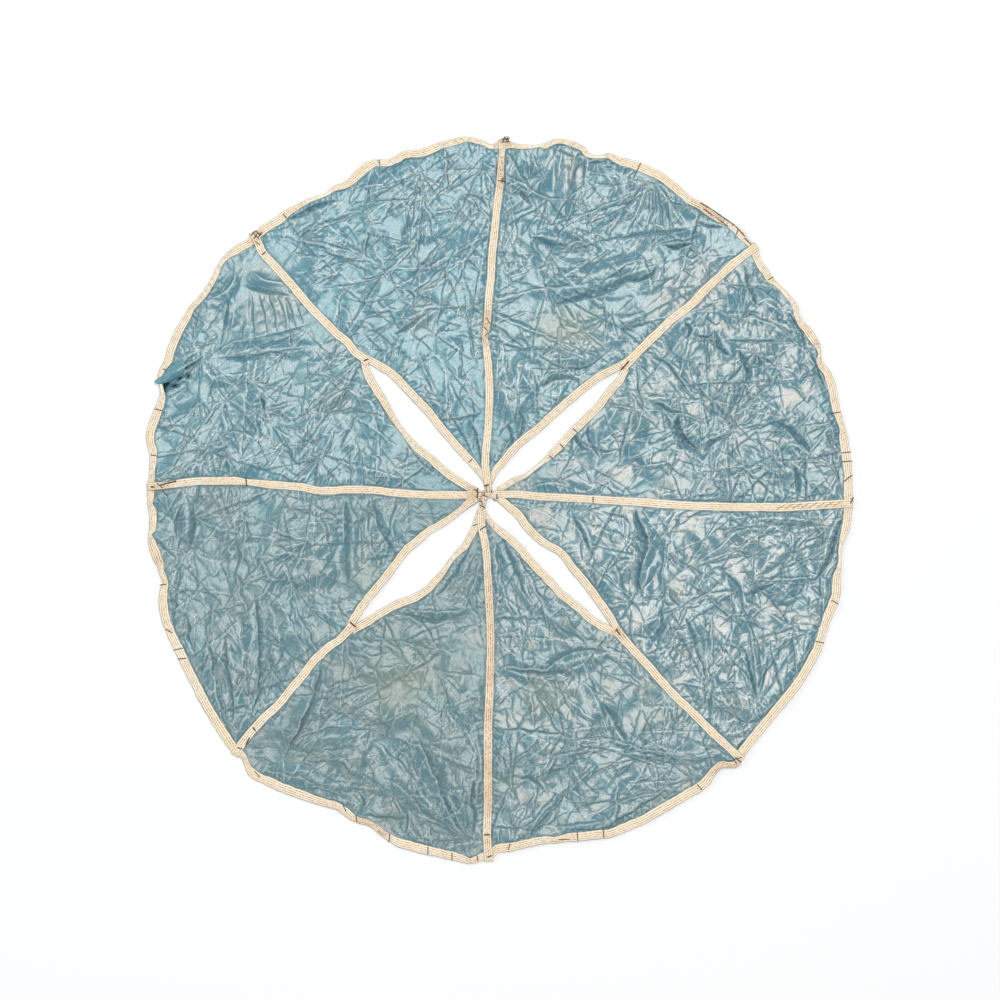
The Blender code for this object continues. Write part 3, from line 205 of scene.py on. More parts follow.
# Which way the crumples of the cloth run, in degrees from the right, and how strong they are.
Anchor = namedtuple("Anchor", "across down direction relief")
ANCHORS = [Anchor(*row) for row in (
    (300, 235, 20, 0.7), (330, 265, -15, 0.8), (400, 230, 60, 1), (470, 440, -70, 0.6), (505, 440, 60, 0.6),
    (550, 475, 15, 0.6), (545, 515, -20, 0.6), (505, 550, -60, 0.6), (470, 560, 70, 0.6),
    (425, 515, 25, 0.6), (430, 480, -15, 0.6), (440, 180, 55, 0.8), (470, 250, 75, 1), (440, 300, 40, 0.9),
    (400, 350, 60, 0.9), (460, 400, -50, 0.9), (380, 310, 0, 0.9), (520, 180, 60, 1), (560, 180, 80, 1),
    (620, 210, 20, 1), (650, 210, 85, 1), (690, 230, -55, 1), (560, 260, -20, 1), (640, 300, 15, 0.8),
    (684, 296, 40, 0.45), (722, 262, 40, 0.5), (655, 318, 40, 0.6), (560, 320, -25, 0.6),
    (600, 360, 0, 0.8), (540, 400, 70, 0.9), (520, 430, 55, 0.9), (720, 300, 75, 1.1), (780, 300, -50, 1),
    (700, 350, 80, 1.1), (650, 380, -45, 1.1), (640, 440, 30, 1), (700, 440, 60, 1.1), (760, 400, 30, 1.1),
    (800, 400, 45, 1), (770, 460, -45, 1.1), (600, 470, 10, 0.9), (600, 530, -60, 1), (650, 560, 80, 1),
    (700, 530, 20, 1), (760, 540, 45, 1.1), (740, 580, -20, 1.1), (690, 640, 75, 1), (750, 660, 80, 1.1),
    (800, 620, 50, 1.1), (720, 710, 60, 1), (520, 560, -60, 0.8), (540, 620, -70, 0.8),
    (580, 650, -40, 0.8), (540, 690, -85, 0.9), (600, 690, -40, 0.9), (620, 740, -10, 1), (560, 780, 60, 1),
    (620, 790, -5, 1), (680, 770, -10, 0.9), (460, 580, 65, 0.7), (440, 600, 70, 0.7), (400, 650, -30, 0.9),
    (340, 680, 55, 0.8), (330, 740, 10, 0.9), (400, 760, -55, 0.9), (440, 770, -65, 0.8),
    (300, 770, -15, 0.9), (370, 800, -20, 0.9), (460, 700, 80, 0.8), (190, 530, 80, 0.9),
    (230, 520, 75, 0.9), (300, 520, 10, 0.9), (350, 540, 85, 0.8), (400, 530, 30, 0.8), (280, 580, 70, 0.9),
    (220, 600, 75, 0.9), (230, 680, 85, 0.8), (270, 640, 80, 0.8), (310, 620, -60, 0.8),
    (200, 300, 65, 0.8), (240, 270, 60, 0.4), (270, 285, -40, 0.3), (300, 292, -40, 0.35),
    (260, 310, 85, 0.3), (290, 325, 85, 0.35), (200, 345, 70, 0.8), (250, 350, 10, 0.9),
    (280, 380, 60, 0.9), (230, 400, -60, 0.9), (220, 440, 70, 1), (320, 400, 50, 0.9), (330, 440, 75, 1),
    (380, 440, -45, 1), (180, 460, 30, 1), (420, 470, -20, 0.9),
)]

# Main creases. A path is across, down, across, down and so on. The fourth column is how much painted shade
# darkens the steep side, partly standing for doubled cloth; the steep side is the left side of the path, or
# the right side where lean is -1.
Crease = namedtuple("Crease", "path width rise deep lean", defaults=[1])
CREASES = [Crease(*row) for row in (
    # gore 8
    ((467, 143, 485, 145, 491, 151), 4, -2, 0.8), ((468, 145, 474, 162), 4, -2, 0.8),
    ((286, 220, 300, 212, 312, 206, 324, 202, 344, 199), 17, -4, 1.05, -1),
    ((313, 227, 325, 227, 335, 223, 350, 219), 5, 3, 0.4, -1),
    ((340, 215, 350, 213, 360, 213), 4, 2, 0.3, -1), ((370, 226, 380, 223, 385, 226), 4, 2, 0.5, -1),
    ((300, 238, 309, 233, 318, 231), 9, -3.5, 0.7), ((292, 237, 299, 238, 306, 229), 4, -2, 0.5),
    ((383, 186, 390, 179), 4, -2, 0.7), ((390, 211, 397, 218), 4, -2, 0.5),
    ((427, 214, 431, 225, 433, 236), 5, -2, 0.5), ((430, 219, 436, 212, 451, 210, 459, 214), 5, 2.5, 0.3),
    ((463, 195, 480, 200, 489, 210), 9, -3, 0.6), ((436, 196, 456, 178, 476, 160), 7, 2.5, 0.4, -1),
    ((426, 192, 446, 172, 458, 158), 6, 2, 0.3, -1), ((475, 250, 479, 258), 4, -2, 0.6),
    ((394, 334, 410, 325, 418, 317, 430, 311), 12, -3.5, 0.8, -1),
    ((440, 321, 455, 325, 467, 326), 5, -2.5, 0.6), ((320, 250, 345, 257, 372, 262), 7, 2.5, 0.4, -1),
    ((330, 246, 350, 252, 366, 262), 5, 2, 0.3), ((420, 268, 440, 246, 452, 228), 8, 2.5, 0.5),
    ((411, 288, 420, 270, 436, 256), 7, 2.5, 0.5), ((438, 282, 452, 256, 458, 236), 6, 2, 0.4),
    ((407, 243, 418, 236, 428, 226), 6, 2, 0.4), ((350, 300, 372, 302, 392, 296), 6, 2, 0.4, -1),
    ((330, 292, 348, 312, 352, 330), 6, 2, 0.4), ((446, 372, 456, 396, 470, 420), 8, 2.5, 0.4),
    ((418, 350, 428, 376, 440, 398), 6, 2, 0.4), ((470, 312, 474, 344, 478, 372), 7, 2, 0.4, -1),
    ((404, 290, 412, 296, 414, 306), 6, -2.5, 0.8),
    # gore 7
    ((252, 271, 265, 280, 285, 284, 296, 290), 6, 4, 0.1), ((244, 286, 262, 293, 292, 296), 14, -3, 0.8),
    ((236, 262, 234, 280, 225, 292, 207, 301), 7, 4.5, 0.2, -1),
    ((229, 275, 222, 290, 204, 298), 14, -3, 0.8, -1),
    ((224, 345, 245, 340, 268, 335, 295, 328, 322, 318), 26, 4.5, 0.65, -1),
    ((214, 358, 245, 356, 275, 351, 314, 346), 14, 2.5, 0.65, -1),
    ((228, 300, 224, 320, 220, 345), 14, -4, 0.8), ((246, 296, 243, 318, 242, 342), 12, -3, 0.65),
    ((252, 292, 252, 318, 255, 340), 8, -2.8, 0.75), ((258, 292, 264, 314, 268, 335), 7, -2.6, 0.75),
    ((268, 293, 274, 314, 277, 333), 7, -2.6, 0.75), ((277, 295, 283, 313, 287, 331), 7, -2.6, 0.7),
    ((286, 298, 292, 314, 296, 328), 7, -2.6, 0.7), ((295, 300, 300, 313, 305, 325), 6, -2.4, 0.65),
    ((236, 306, 232, 324, 228, 340), 5, 2, 0.2, -1), ((178, 343, 186, 345, 191, 352), 4, -2, 0.6),
    ((157, 383, 163, 380, 172, 374, 182, 368, 192, 363), 11, 9, 0.5, -1),
    ((142, 394, 158, 385, 171, 377, 183, 369, 204, 355), 15, 4.5, 1.5, -1),
    ((166, 398, 176, 391, 186, 387), 12, 3, 0.5, -1), ((261, 397, 262, 403, 265, 411), 8, -4, 1.4),
    ((266, 408, 274, 407, 282, 404, 290, 400), 5, 3, 0.8), ((256, 404, 257, 420, 260, 440), 12, 2.5, 0.7),
    ((215, 380, 226, 382, 236, 386), 6, 2, 0.4), ((262, 387, 272, 385, 282, 380), 5, -2.5, 0.7),
    ((228, 432, 242, 433, 256, 437), 6, 2.5, 0.4), ((195, 455, 203, 452, 211, 447), 5, -2, 0.5),
    ((365, 361, 348, 372, 330, 388, 314, 411), 12, 3.5, 0.5), ((335, 390, 326, 402, 318, 418), 6, -2, 0.4),
    ((340, 452, 352, 428, 360, 412), 12, 3, 0.6), ((320, 464, 330, 440, 336, 424), 8, 2.5, 0.5, -1),
    ((370, 410, 384, 436, 398, 446), 7, 2.5, 0.5), ((162, 481, 170, 480, 178, 479), 4, -3, 1),
    # gore 1
    ((505, 190, 509, 196, 516, 197), 5, 2, 0.3), ((519, 191, 523, 199, 530, 206), 15, -4, 0.9),
    ((532, 238, 548, 245, 566, 247), 15, -5, 0.9), ((530, 230, 536, 237, 543, 233), 5, 2.5, 0.4),
    ((516, 238, 525, 244), 4, -2, 0.8), ((514, 219, 516, 228, 517, 237), 5, 2, 0.4),
    ((514, 255, 516, 264, 517, 274), 5, 2.5, 0.4), ((554, 226, 560, 231), 4, -2, 0.8),
    ((562, 251, 573, 243, 591, 244), 6, 3, 0.4), ((562, 150, 559, 170, 557, 186), 6, 3, 0.2),
    ((575, 150, 572, 170, 570, 190), 6, 3, 0.2, -1), ((585, 152, 586, 166, 584, 188), 8, 4, 0.5, -1),
    ((587, 165, 600, 163, 610, 159), 11, -3.5, 0.9), ((604, 167, 615, 170), 5, -2, 0.8),
    ((622, 170, 632, 171), 5, -2, 0.8), ((530, 150, 545, 185), 6, 2.5, 0.6),
    ((520, 158, 530, 190), 6, 2.5, 0.5, -1), ((569, 220, 590, 212, 640, 190), 8, 3, 0.5),
    ((576, 226, 600, 218, 636, 202), 6, 2.5, 0.4, -1),
    ((552, 307, 590, 299, 612, 291, 627, 283, 642, 281, 654, 274, 662, 262), 24, -5, 0.8),
    ((628, 281, 641, 281, 652, 275, 658, 266), 9, -3.5, 1),
    ((648, 180, 630, 206, 608, 238), 14, -3.5, 0.5, -1), ((649, 181, 640, 206, 626, 236), 9, 3, 0.4),
    ((651, 182, 650, 206, 646, 232), 8, 3, 0.4, -1), ((653, 182, 660, 206, 664, 230), 8, -3, 0.6),
    ((656, 183, 672, 206, 684, 226), 9, 3, 0.4), ((600, 283, 614, 272, 626, 265, 636, 262), 9, 4, 0.3, -1),
    ((658, 243, 672, 240, 690, 239, 704, 232), 8, 4.5, 0.3, -1),
    ((665, 245, 673, 251, 683, 247, 693, 245), 13, -4.5, 1), ((690, 213, 697, 220), 5, -2, 0.5),
    ((698, 222, 710, 228, 726, 227), 10, -3.5, 0.9), ((680, 252, 692, 260, 704, 251), 6, 3, 0.4),
    ((682, 268, 690, 276, 702, 279), 5, -2, 0.4), ((700, 258, 708, 278), 5, 2, 0.4),
    ((614, 240, 640, 237, 668, 234, 690, 229), 18, -3.5, 0.6),
    ((534, 352, 560, 368, 590, 366, 611, 349), 8, -3, 0.5),
    ((538, 340, 560, 350, 596, 364), 6, 2.5, 0.3, -1), ((542, 386, 560, 379, 585, 383), 14, -2.5, 1),
    ((556, 316, 566, 322, 584, 328), 5, -2.5, 0.4), ((566, 304, 572, 314, 576, 324), 5, -2, 0.4),
    ((534, 372, 536, 400, 534, 414), 7, 3, 0.5), ((514, 384, 520, 400, 516, 424), 8, 2.5, 0.5, -1),
    ((500, 458, 510, 440, 526, 424), 9, 2.5, 0.8), ((502, 344, 520, 350, 536, 346), 9, -2, 0.8),
    ((610, 306, 613, 324, 622, 348), 6, 2.5, 0.4), ((604, 300, 606, 320, 604, 342), 6, 2.5, 0.4, -1),
    # gore 2
    ((742, 262, 747, 286, 757, 308), 18, -4, 1), ((749, 300, 757, 310), 6, -2.5, 0.7),
    ((750, 315, 780, 328, 800, 345), 8, 3, 0.6), ((765, 300, 785, 315), 6, 2.5, 0.5),
    ((788, 314, 796, 327, 805, 346), 12, -4, 1.15),
    ((808, 351, 815, 364, 818, 376, 825, 390), 10, -3.5, 1.1),
    ((724, 341, 750, 342, 795, 342), 8, -2.5, 0.8), ((714, 330, 717, 348, 731, 358), 15, -4, 1.05),
    ((750, 352, 768, 357, 790, 349), 6, 2.5, 0.5), ((793, 360, 806, 368, 810, 376), 6, -2.5, 0.7),
    ((651, 349, 672, 372, 694, 399), 7, -3.5, 1.2), ((653, 403, 668, 411, 683, 413), 9, -3.5, 1.25),
    ((678, 414, 683, 434, 692, 444, 704, 455), 22, -5, 1.2, -1),
    ((703, 454, 716, 443, 735, 433), 15, -4, 0.9), ((683, 412, 700, 420, 716, 416), 7, 4, 0.2),
    ((684, 322, 689, 330, 686, 338), 10, -4, 1), ((722, 393, 727, 376, 738, 370), 6, 3, 0.4),
    ((737, 350, 744, 368, 754, 388), 17, -4, 1), ((777, 422, 790, 434, 812, 455), 18, -4, 1.05),
    ((775, 440, 781, 455, 785, 473), 6, 3, 0.4), ((785, 420, 780, 435), 6, -2.5, 0.6),
    ((795, 429, 812, 410), 7, 2.5, 0.5), ((750, 460, 765, 466, 780, 475), 6, 2.5, 0.4),
    ((732, 466, 745, 470, 757, 478), 6, 2.5, 0.4, -1), ((750, 478, 768, 483, 778, 492), 6, 2.5, 0.4),
    ((793, 466, 796, 480, 799, 497), 14, -4, 1.1), ((726, 470, 729, 484, 731, 498), 6, 2.5, 0.4),
    ((740, 480, 743, 490, 747, 498), 6, 2.5, 0.4, -1), ((704, 318, 716, 326, 722, 320), 6, 3, 0.3),
    ((696, 336, 708, 338, 714, 332), 8, -3, 0.9), ((740, 350, 746, 380, 752, 400), 6, 3, 0.4),
    ((580, 440, 600, 452, 620, 450), 9, -3, 0.8), ((596, 434, 598, 450, 604, 462), 7, 3, 0.5),
    ((634, 372, 640, 400, 646, 420), 7, -2.5, 0.7), ((626, 384, 640, 408, 660, 424), 6, 2.5, 0.5),
    # gore 3
    ((636, 504, 638, 516, 645, 530, 649, 546, 643, 562, 640, 580, 643, 600), 17, 5.5, 1.15, -1),
    ((666, 534, 664, 560, 660, 596), 18, 3, 0.7, -1),
    ((661, 608, 660, 625, 652, 640, 645, 653), 14, -3.5, 0.9),
    ((572, 512, 578, 528, 592, 556), 11, -4.5, 1),
    ((843, 515, 839, 530, 830, 561, 812, 585), 18, -4.5, 1, -1),
    ((830, 523, 819, 534, 805, 541, 804, 548), 6, 3, 0.6), ((778, 570, 800, 562, 823, 549), 7, 3, 0.6),
    ((742, 594, 756, 593, 775, 583), 14, -4, 0.9), ((765, 612, 780, 620, 797, 628), 7, 3.5, 0.3),
    ((808, 597, 806, 616), 5, -2.5, 0.6), ((718, 546, 735, 531, 760, 528), 7, 2.5, 0.4),
    ((706, 560, 740, 548, 778, 520), 7, 2.5, 0.4), ((742, 646, 749, 674, 757, 702), 11, -4, 1),
    ((767, 652, 763, 676, 757, 702), 7, 3.5, 0.6), ((750, 628, 754, 660, 757, 698), 6, 3.5, 0.6, -1),
    ((685, 617, 697, 652, 708, 686), 15, -4.5, 1), ((711, 615, 712, 650, 712, 680), 6, 3, 0.5),
    ((680, 606, 672, 596, 670, 588), 7, -3, 0.9), ((684, 604, 700, 597, 716, 586), 8, 3.5, 0.6),
    ((681, 606, 664, 620, 650, 640), 8, 3, 0.6), ((725, 572, 738, 590, 742, 612), 10, -2.5, 0.9),
    ((730, 640, 734, 610, 732, 590), 7, 3, 0.6), ((784, 600, 800, 594, 806, 580), 6, 2.5, 0.5),
    ((797, 670, 788, 684), 5, -2, 0.5), ((738, 757, 738, 748, 745, 738), 6, -3, 1),
    ((710, 690, 730, 680, 742, 664), 8, 3, 0.5), ((710, 692, 690, 684, 676, 684), 7, 3, 0.4),
    ((600, 512, 626, 520, 632, 540), 7, -2.5, 0.7), ((606, 574, 620, 560, 632, 560), 8, 2.5, 0.8),
    ((656, 622, 664, 604, 660, 590), 7, -2.5, 0.7), ((620, 592, 634, 604, 640, 612), 7, -2.5, 0.8),
    # crown
    ((506, 424, 511, 438, 503, 452), 12, -4, 1), ((520, 410, 522, 428, 512, 448), 10, -4, 0.9),
    ((470, 420, 477, 444, 481, 466), 9, -4, 0.9), ((448, 412, 462, 436, 474, 458), 8, -3, 0.7),
    ((573, 430, 577, 444, 590, 452), 11, -4.5, 1.05), ((588, 424, 592, 444, 600, 458), 10, -4, 0.9, -1),
    ((530, 488, 548, 482, 570, 486), 9, 3, 0.5), ((432, 452, 440, 470, 462, 484), 9, -3, 0.8),
    ((404, 440, 420, 462, 440, 478), 8, 3, 0.6),
    # gore 4
    ((498, 545, 505, 572, 520, 600), 14, -3.5, 0.8), ((494, 540, 497, 566, 498, 600), 9, 3, 0.6),
    ((499, 673, 506, 665, 524, 667, 546, 668, 558, 661, 569, 654, 587, 650, 613, 652), 15, 6, 0.85),
    ((506, 667, 524, 670, 546, 671, 562, 671, 574, 680), 16, -3.5, 0.9, -1),
    ((603, 704, 614, 724, 627, 743), 20, -4.5, 1),
    ((569, 741, 596, 738, 622, 742, 650, 750, 697, 755), 7, 3.5, 0.7),
    ((575, 748, 600, 746, 640, 760, 694, 777), 6, 2.5, 0.5, -1),
    ((690, 742, 706, 746, 722, 750), 7, 3, 0.6), ((625, 784, 658, 781, 690, 778), 7, 3, 0.7),
    ((600, 812, 630, 798, 664, 790), 7, 2.5, 0.6), ((492, 827, 508, 829, 525, 829), 7, -3, 1),
    ((545, 823, 560, 826, 600, 821), 7, 2.5, 0.7), ((524, 829, 545, 808, 562, 790), 7, 3, 0.6),
    ((566, 762, 567, 780, 566, 800), 7, 3, 0.7), ((556, 756, 551, 768, 546, 780), 8, 3, 0.6),
    ((520, 776, 534, 782, 545, 790), 12, -3, 0.9), ((540, 785, 550, 762, 568, 752, 600, 748), 6, 3, 0.4),
    ((500, 533, 510, 560, 522, 590, 532, 604), 13, -4, 0.9), ((512, 550, 532, 580, 548, 610), 8, 3, 0.5),
    ((536, 590, 544, 612, 546, 632), 7, 3, 0.5, -1), ((560, 606, 576, 630, 590, 642), 7, 3, 0.5),
    ((500, 560, 504, 590, 512, 616), 8, 3, 0.5), ((530, 690, 533, 710, 534, 730), 7, 2.5, 0.5),
    ((558, 682, 564, 700, 572, 712), 6, -2.5, 0.5), ((580, 680, 600, 694, 620, 700), 7, 2.5, 0.4),
    ((618, 786, 617, 804, 616, 824), 7, 3, 0.7), ((520, 740, 540, 728, 556, 724), 7, 2.5, 0.4),
    # gore 5
    ((397, 611, 420, 617, 440, 619, 476, 616), 10, -4.5, 1, -1),
    ((402, 606, 424, 611, 450, 611, 474, 606), 9, 4, 0.5),
    ((415, 728, 430, 765, 443, 799, 456, 824, 468, 842), 21, 5, 1),
    ((474, 778, 470, 800, 474, 822, 470, 838), 14, -4, 1), ((453, 768, 457, 780, 460, 790), 4, -2, 0.6),
    ((413, 810, 430, 819, 448, 827), 6, 3, 0.5), ((405, 808, 407, 825, 402, 836), 7, -3, 1),
    ((321, 660, 312, 694, 296, 734, 281, 761), 19, 5, 1.05),
    ((315, 694, 299, 732, 284, 758), 5, -3, 0.8, -1),
    ((292, 744, 310, 735, 340, 728, 376, 731), 7, -3, 0.7), ((300, 754, 330, 750, 366, 745), 8, 3, 0.7),
    ((262, 770, 284, 774, 300, 779, 320, 784), 7, 3, 0.6), ((300, 787, 320, 789, 350, 800), 6, -2.5, 0.5),
    ((357, 788, 362, 804, 360, 818), 8, -3, 0.9), ((324, 700, 350, 690, 372, 684), 6, 3, 0.4),
    ((352, 712, 376, 700, 392, 694), 7, 2.5, 0.4), ((370, 738, 396, 760, 424, 790), 7, 3, 0.5),
    ((380, 774, 404, 790, 430, 820), 8, 3, 0.6), ((440, 726, 446, 704, 452, 722), 6, 3, 0.5),
    ((432, 552, 452, 580, 470, 600), 5, 2.5, 0.3), ((470, 545, 452, 575, 434, 598), 12, -3.5, 0.85),
    ((476, 550, 462, 580, 448, 604), 7, 2.5, 0.6), ((480, 560, 472, 590, 462, 608), 7, 2.5, 0.6, -1),
    ((420, 640, 440, 650, 464, 646), 7, 2.5, 0.4), ((366, 632, 384, 640, 402, 652), 7, 3, 0.5),
    ((352, 650, 372, 656, 392, 652), 7, 2.5, 0.5), ((398, 700, 392, 720, 388, 742), 6, -2.5, 0.4),
    ((440, 820, 456, 812, 466, 800), 7, 2.5, 0.5),
    # gore 6
    ((193, 505, 196, 520, 194, 540, 186, 556), 18, -4, 0.95, -1),
    ((182, 506, 178, 520, 176, 540), 8, -3, 1, -1), ((156, 540, 168, 552, 176, 560), 8, -3, 1),
    ((236, 523, 245, 519), 5, -2, 0.5), ((240, 504, 246, 524, 254, 540), 7, 3, 0.6),
    ((345, 500, 345, 540, 347, 584), 24, -4, 0.85), ((364, 510, 362, 540, 366, 560), 6, 3, 0.3, -1),
    ((372, 502, 380, 530, 396, 556), 22, -3.5, 0.85), ((362, 560, 384, 558, 404, 548), 6, -2.5, 0.7),
    ((254, 592, 258, 640, 258, 688, 249, 722), 20, 4.5, 0.95),
    ((226, 636, 229, 665, 234, 690, 235, 722), 15, 4, 0.85, -1),
    ((209, 640, 215, 686, 222, 715, 229, 741), 14, 3.5, 0.85),
    ((262, 648, 274, 672, 286, 696), 12, 3.5, 0.8), ((187, 615, 188, 640, 196, 657), 9, -3, 0.9),
    ((295, 606, 308, 632, 322, 660), 9, 3.5, 0.8), ((284, 560, 294, 590, 304, 610), 8, 3, 0.7),
    ((236, 570, 244, 600, 250, 616), 8, 2.5, 0.7), ((262, 560, 270, 576, 284, 580), 7, 2.5, 0.5),
    ((320, 512, 326, 534, 330, 556), 7, 2.5, 0.6), ((410, 512, 430, 516, 450, 510), 7, 2.5, 0.5),
    ((404, 532, 424, 530, 440, 518), 7, -2.5, 0.6),
)]

# Stars of creases: the middle, how far and between which angles the rays reach, how many, and their size.
# The number of a row sets its random draws, here and in STAINS, so the order stays.
Fan = namedtuple("Fan", "across down reach start_deg end_deg rays width rise")
FANS = [Fan(*row) for row in (
    (457, 220, 34, 20, 340, 13, 5, 2), (363, 256, 36, 0, 360, 14, 5, 2),
    (651, 178, 62, 200, 330, 12, 6, 2.8), (263, 408, 40, 200, 330, 8, 6, 2.2),
    (223, 433, 34, 0, 360, 12, 5, 2), (152, 534, 30, -50, 40, 6, 5, 2.2),
    (681, 605, 48, 0, 360, 13, 7, 2.6), (709, 691, 44, 0, 360, 12, 6, 2.4),
    (757, 703, 44, 60, 120, 5, 6, 2.6), (694, 778, 60, 140, 210, 7, 6, 2.6),
    (640, 592, 34, 0, 360, 9, 6, 2), (395, 691, 40, 0, 360, 13, 5, 2), (468, 842, 80, 90, 170, 7, 7, 2.6),
    (286, 762, 80, 5, 65, 7, 7, 2.6), (733, 434, 40, 100, 300, 8, 6, 2.4),
    (703, 452, 40, 150, 260, 6, 6, 2.4), (796, 342, 44, 120, 230, 6, 6, 2.4),
    (186, 462, 30, 0, 360, 10, 5, 1.8), (480, 566, 60, 215, 265, 6, 6, 2.2),
    (232, 738, 80, 60, 110, 6, 7, 2.4), (448, 705, 36, 200, 340, 7, 5, 2), (560, 330, 50, 0, 360, 9, 8, 2),
    (756, 612, 36, 0, 360, 10, 5, 2.2), (488, 500, 110, -40, -12, 3, 7, 2),
    (470, 838, 60, 150, 190, 4, 6, 2),
)]

# How much each gore is greyed, how beige its flat parts are and how strongly it mirrors the light.
GREYING = {1: 0.15, 2: 0.15, 3: 0.25, 4: 0.6, 5: 1, 6: 0.75, 7: 0.2, 8: 0}
WARM = {1: 0.22, 2: 0.7, 3: 0.85, 4: 0.65, 5: 0.5, 6: 0.38, 7: 0.16, 8: 0.04}
SHINE = {1: 0.47, 2: 0.46, 3: 0.55, 4: 0.42, 5: 0.29, 6: 0.32, 7: 0.42, 8: 0.42}

# Where the tapes are browned and frayed: across, down and how far each way.
WORN = [
    (489, 690, 12, 180), (158, 559, 10, 10), (712, 214, 34, 16), (722, 768, 20, 10), (374, 826, 24, 12),
    (505, 138, 14, 8), (256, 236, 10, 10), (486, 325, 10, 22), (480, 500, 20, 18), (160, 487, 14, 8),
    (622, 632, 10, 8), (500, 172, 9, 20), (350, 628, 10, 8), (487, 590, 9, 20), (820, 352, 10, 16),
]

# Soft patches on the cloth: stains, and where it is beige, calm (with little crumple) or dark with painted
# shadow below a fold.
Stain = namedtuple("Stain", "across down wide tall turn tint strength")
STAINS = [Stain(*row) for row in (
    (421, 320, 13, 18, 0, "brown", 0.3), (333, 405, 16, 14, 30, "brown", 0.25),
    (682, 294, 44, 24, 30, "brown", 0.28), (276, 304, 30, 26, 0, "brown", 0.22),
    (285, 262, 24, 9, 20, "brown", 0.3), (760, 560, 30, 40, 30, "brown", 0.12),
    (566, 328, 40, 22, -10, "green", 0.75), (560, 335, 18, 10, 0, "brown", 0.3),
    (598, 318, 10, 14, 0, "green", 0.5), (571, 172, 10, 20, 0, "brown", 0.4),
    (676, 589, 12, 14, 0, "green", 0.6), (732, 705, 18, 18, 30, "brown", 0.22),
    (546, 695, 32, 20, 0, "green", 0.65), (508, 782, 18, 16, 0, "green", 0.5),
    (404, 675, 48, 38, 0, "green", 0.6), (392, 690, 26, 24, 20, "brown", 0.3),
    (215, 506, 22, 14, 0, "brown", 0.3), (240, 606, 30, 30, 0, "green", 0.25),
    (453, 763, 3, 3, 0, "brown", 0.8), (581, 277, 2, 2, 0, "brown", 0.8), (158, 559, 6, 8, 0, "brown", 0.6),
    (640, 420, 26, 14, 40, "green", 0.25), (620, 400, 14, 26, 0, "green", 0.25),
    (480, 330, 12, 40, 0, "green", 0.25), (360, 570, 20, 30, 0, "green", 0.25),
    (548, 380, 16, 10, 0, "green", 0.2), (272, 312, 42, 22, 12, "beige", 0.95),
    (268, 276, 30, 10, -20, "beige", 0.7), (690, 292, 62, 36, 36, "beige", 0.85),
    (566, 172, 26, 30, 0, "beige", 0.8), (580, 336, 52, 30, -10, "beige", 0.6),
    (330, 402, 26, 22, 30, "beige", 0.8), (420, 318, 20, 26, 0, "beige", 0.6),
    (306, 214, 22, 10, 30, "beige", 0.5), (216, 508, 30, 18, 0, "beige", 0.6),
    (210, 318, 18, 26, 20, "beige", 0.5), (646, 190, 16, 14, 0, "beige", 0.4),
    (640, 250, 30, 14, 0, "beige", 0.5), (236, 690, 34, 50, 10, "beige", 0.5),
    (320, 570, 40, 26, 20, "beige", 0.4), (760, 380, 50, 70, 20, "beige", 0.3),
    (346, 700, 40, 30, -20, "beige", 0.4), (470, 210, 18, 30, 0, "beige", 0.4),
    (388, 470, 26, 14, 0, "beige", 0.3), (268, 294, 56, 44, 15, "calm", 0.9),
    (692, 290, 56, 26, 36, "calm", 0.55), (733, 240, 13, 16, 0, "calm", 0.95),
    (658, 566, 12, 38, 0, "calm", 0.85), (703, 318, 17, 17, 0, "calm", 0.9),
    (488, 496, 70, 70, 0, "calm", 0.55), (346, 545, 22, 44, 0, "calm", 0.6),
    (563, 172, 18, 26, 0, "calm", 0.5), (300, 214, 24, 12, 30, "calm", 0.6),
    (610, 250, 34, 18, 10, "calm", 0.5), (500, 800, 14, 26, 0, "calm", 0.5),
    # The last two rows are painted shadow below the flap over the left rim.
    (430, 640, 44, 18, 0, "calm", 0.4), (169, 387, 10, 5, 15, "dark", 2.3),
    (182, 378.5, 12, 2.6, 27, "dark", 2),
)]

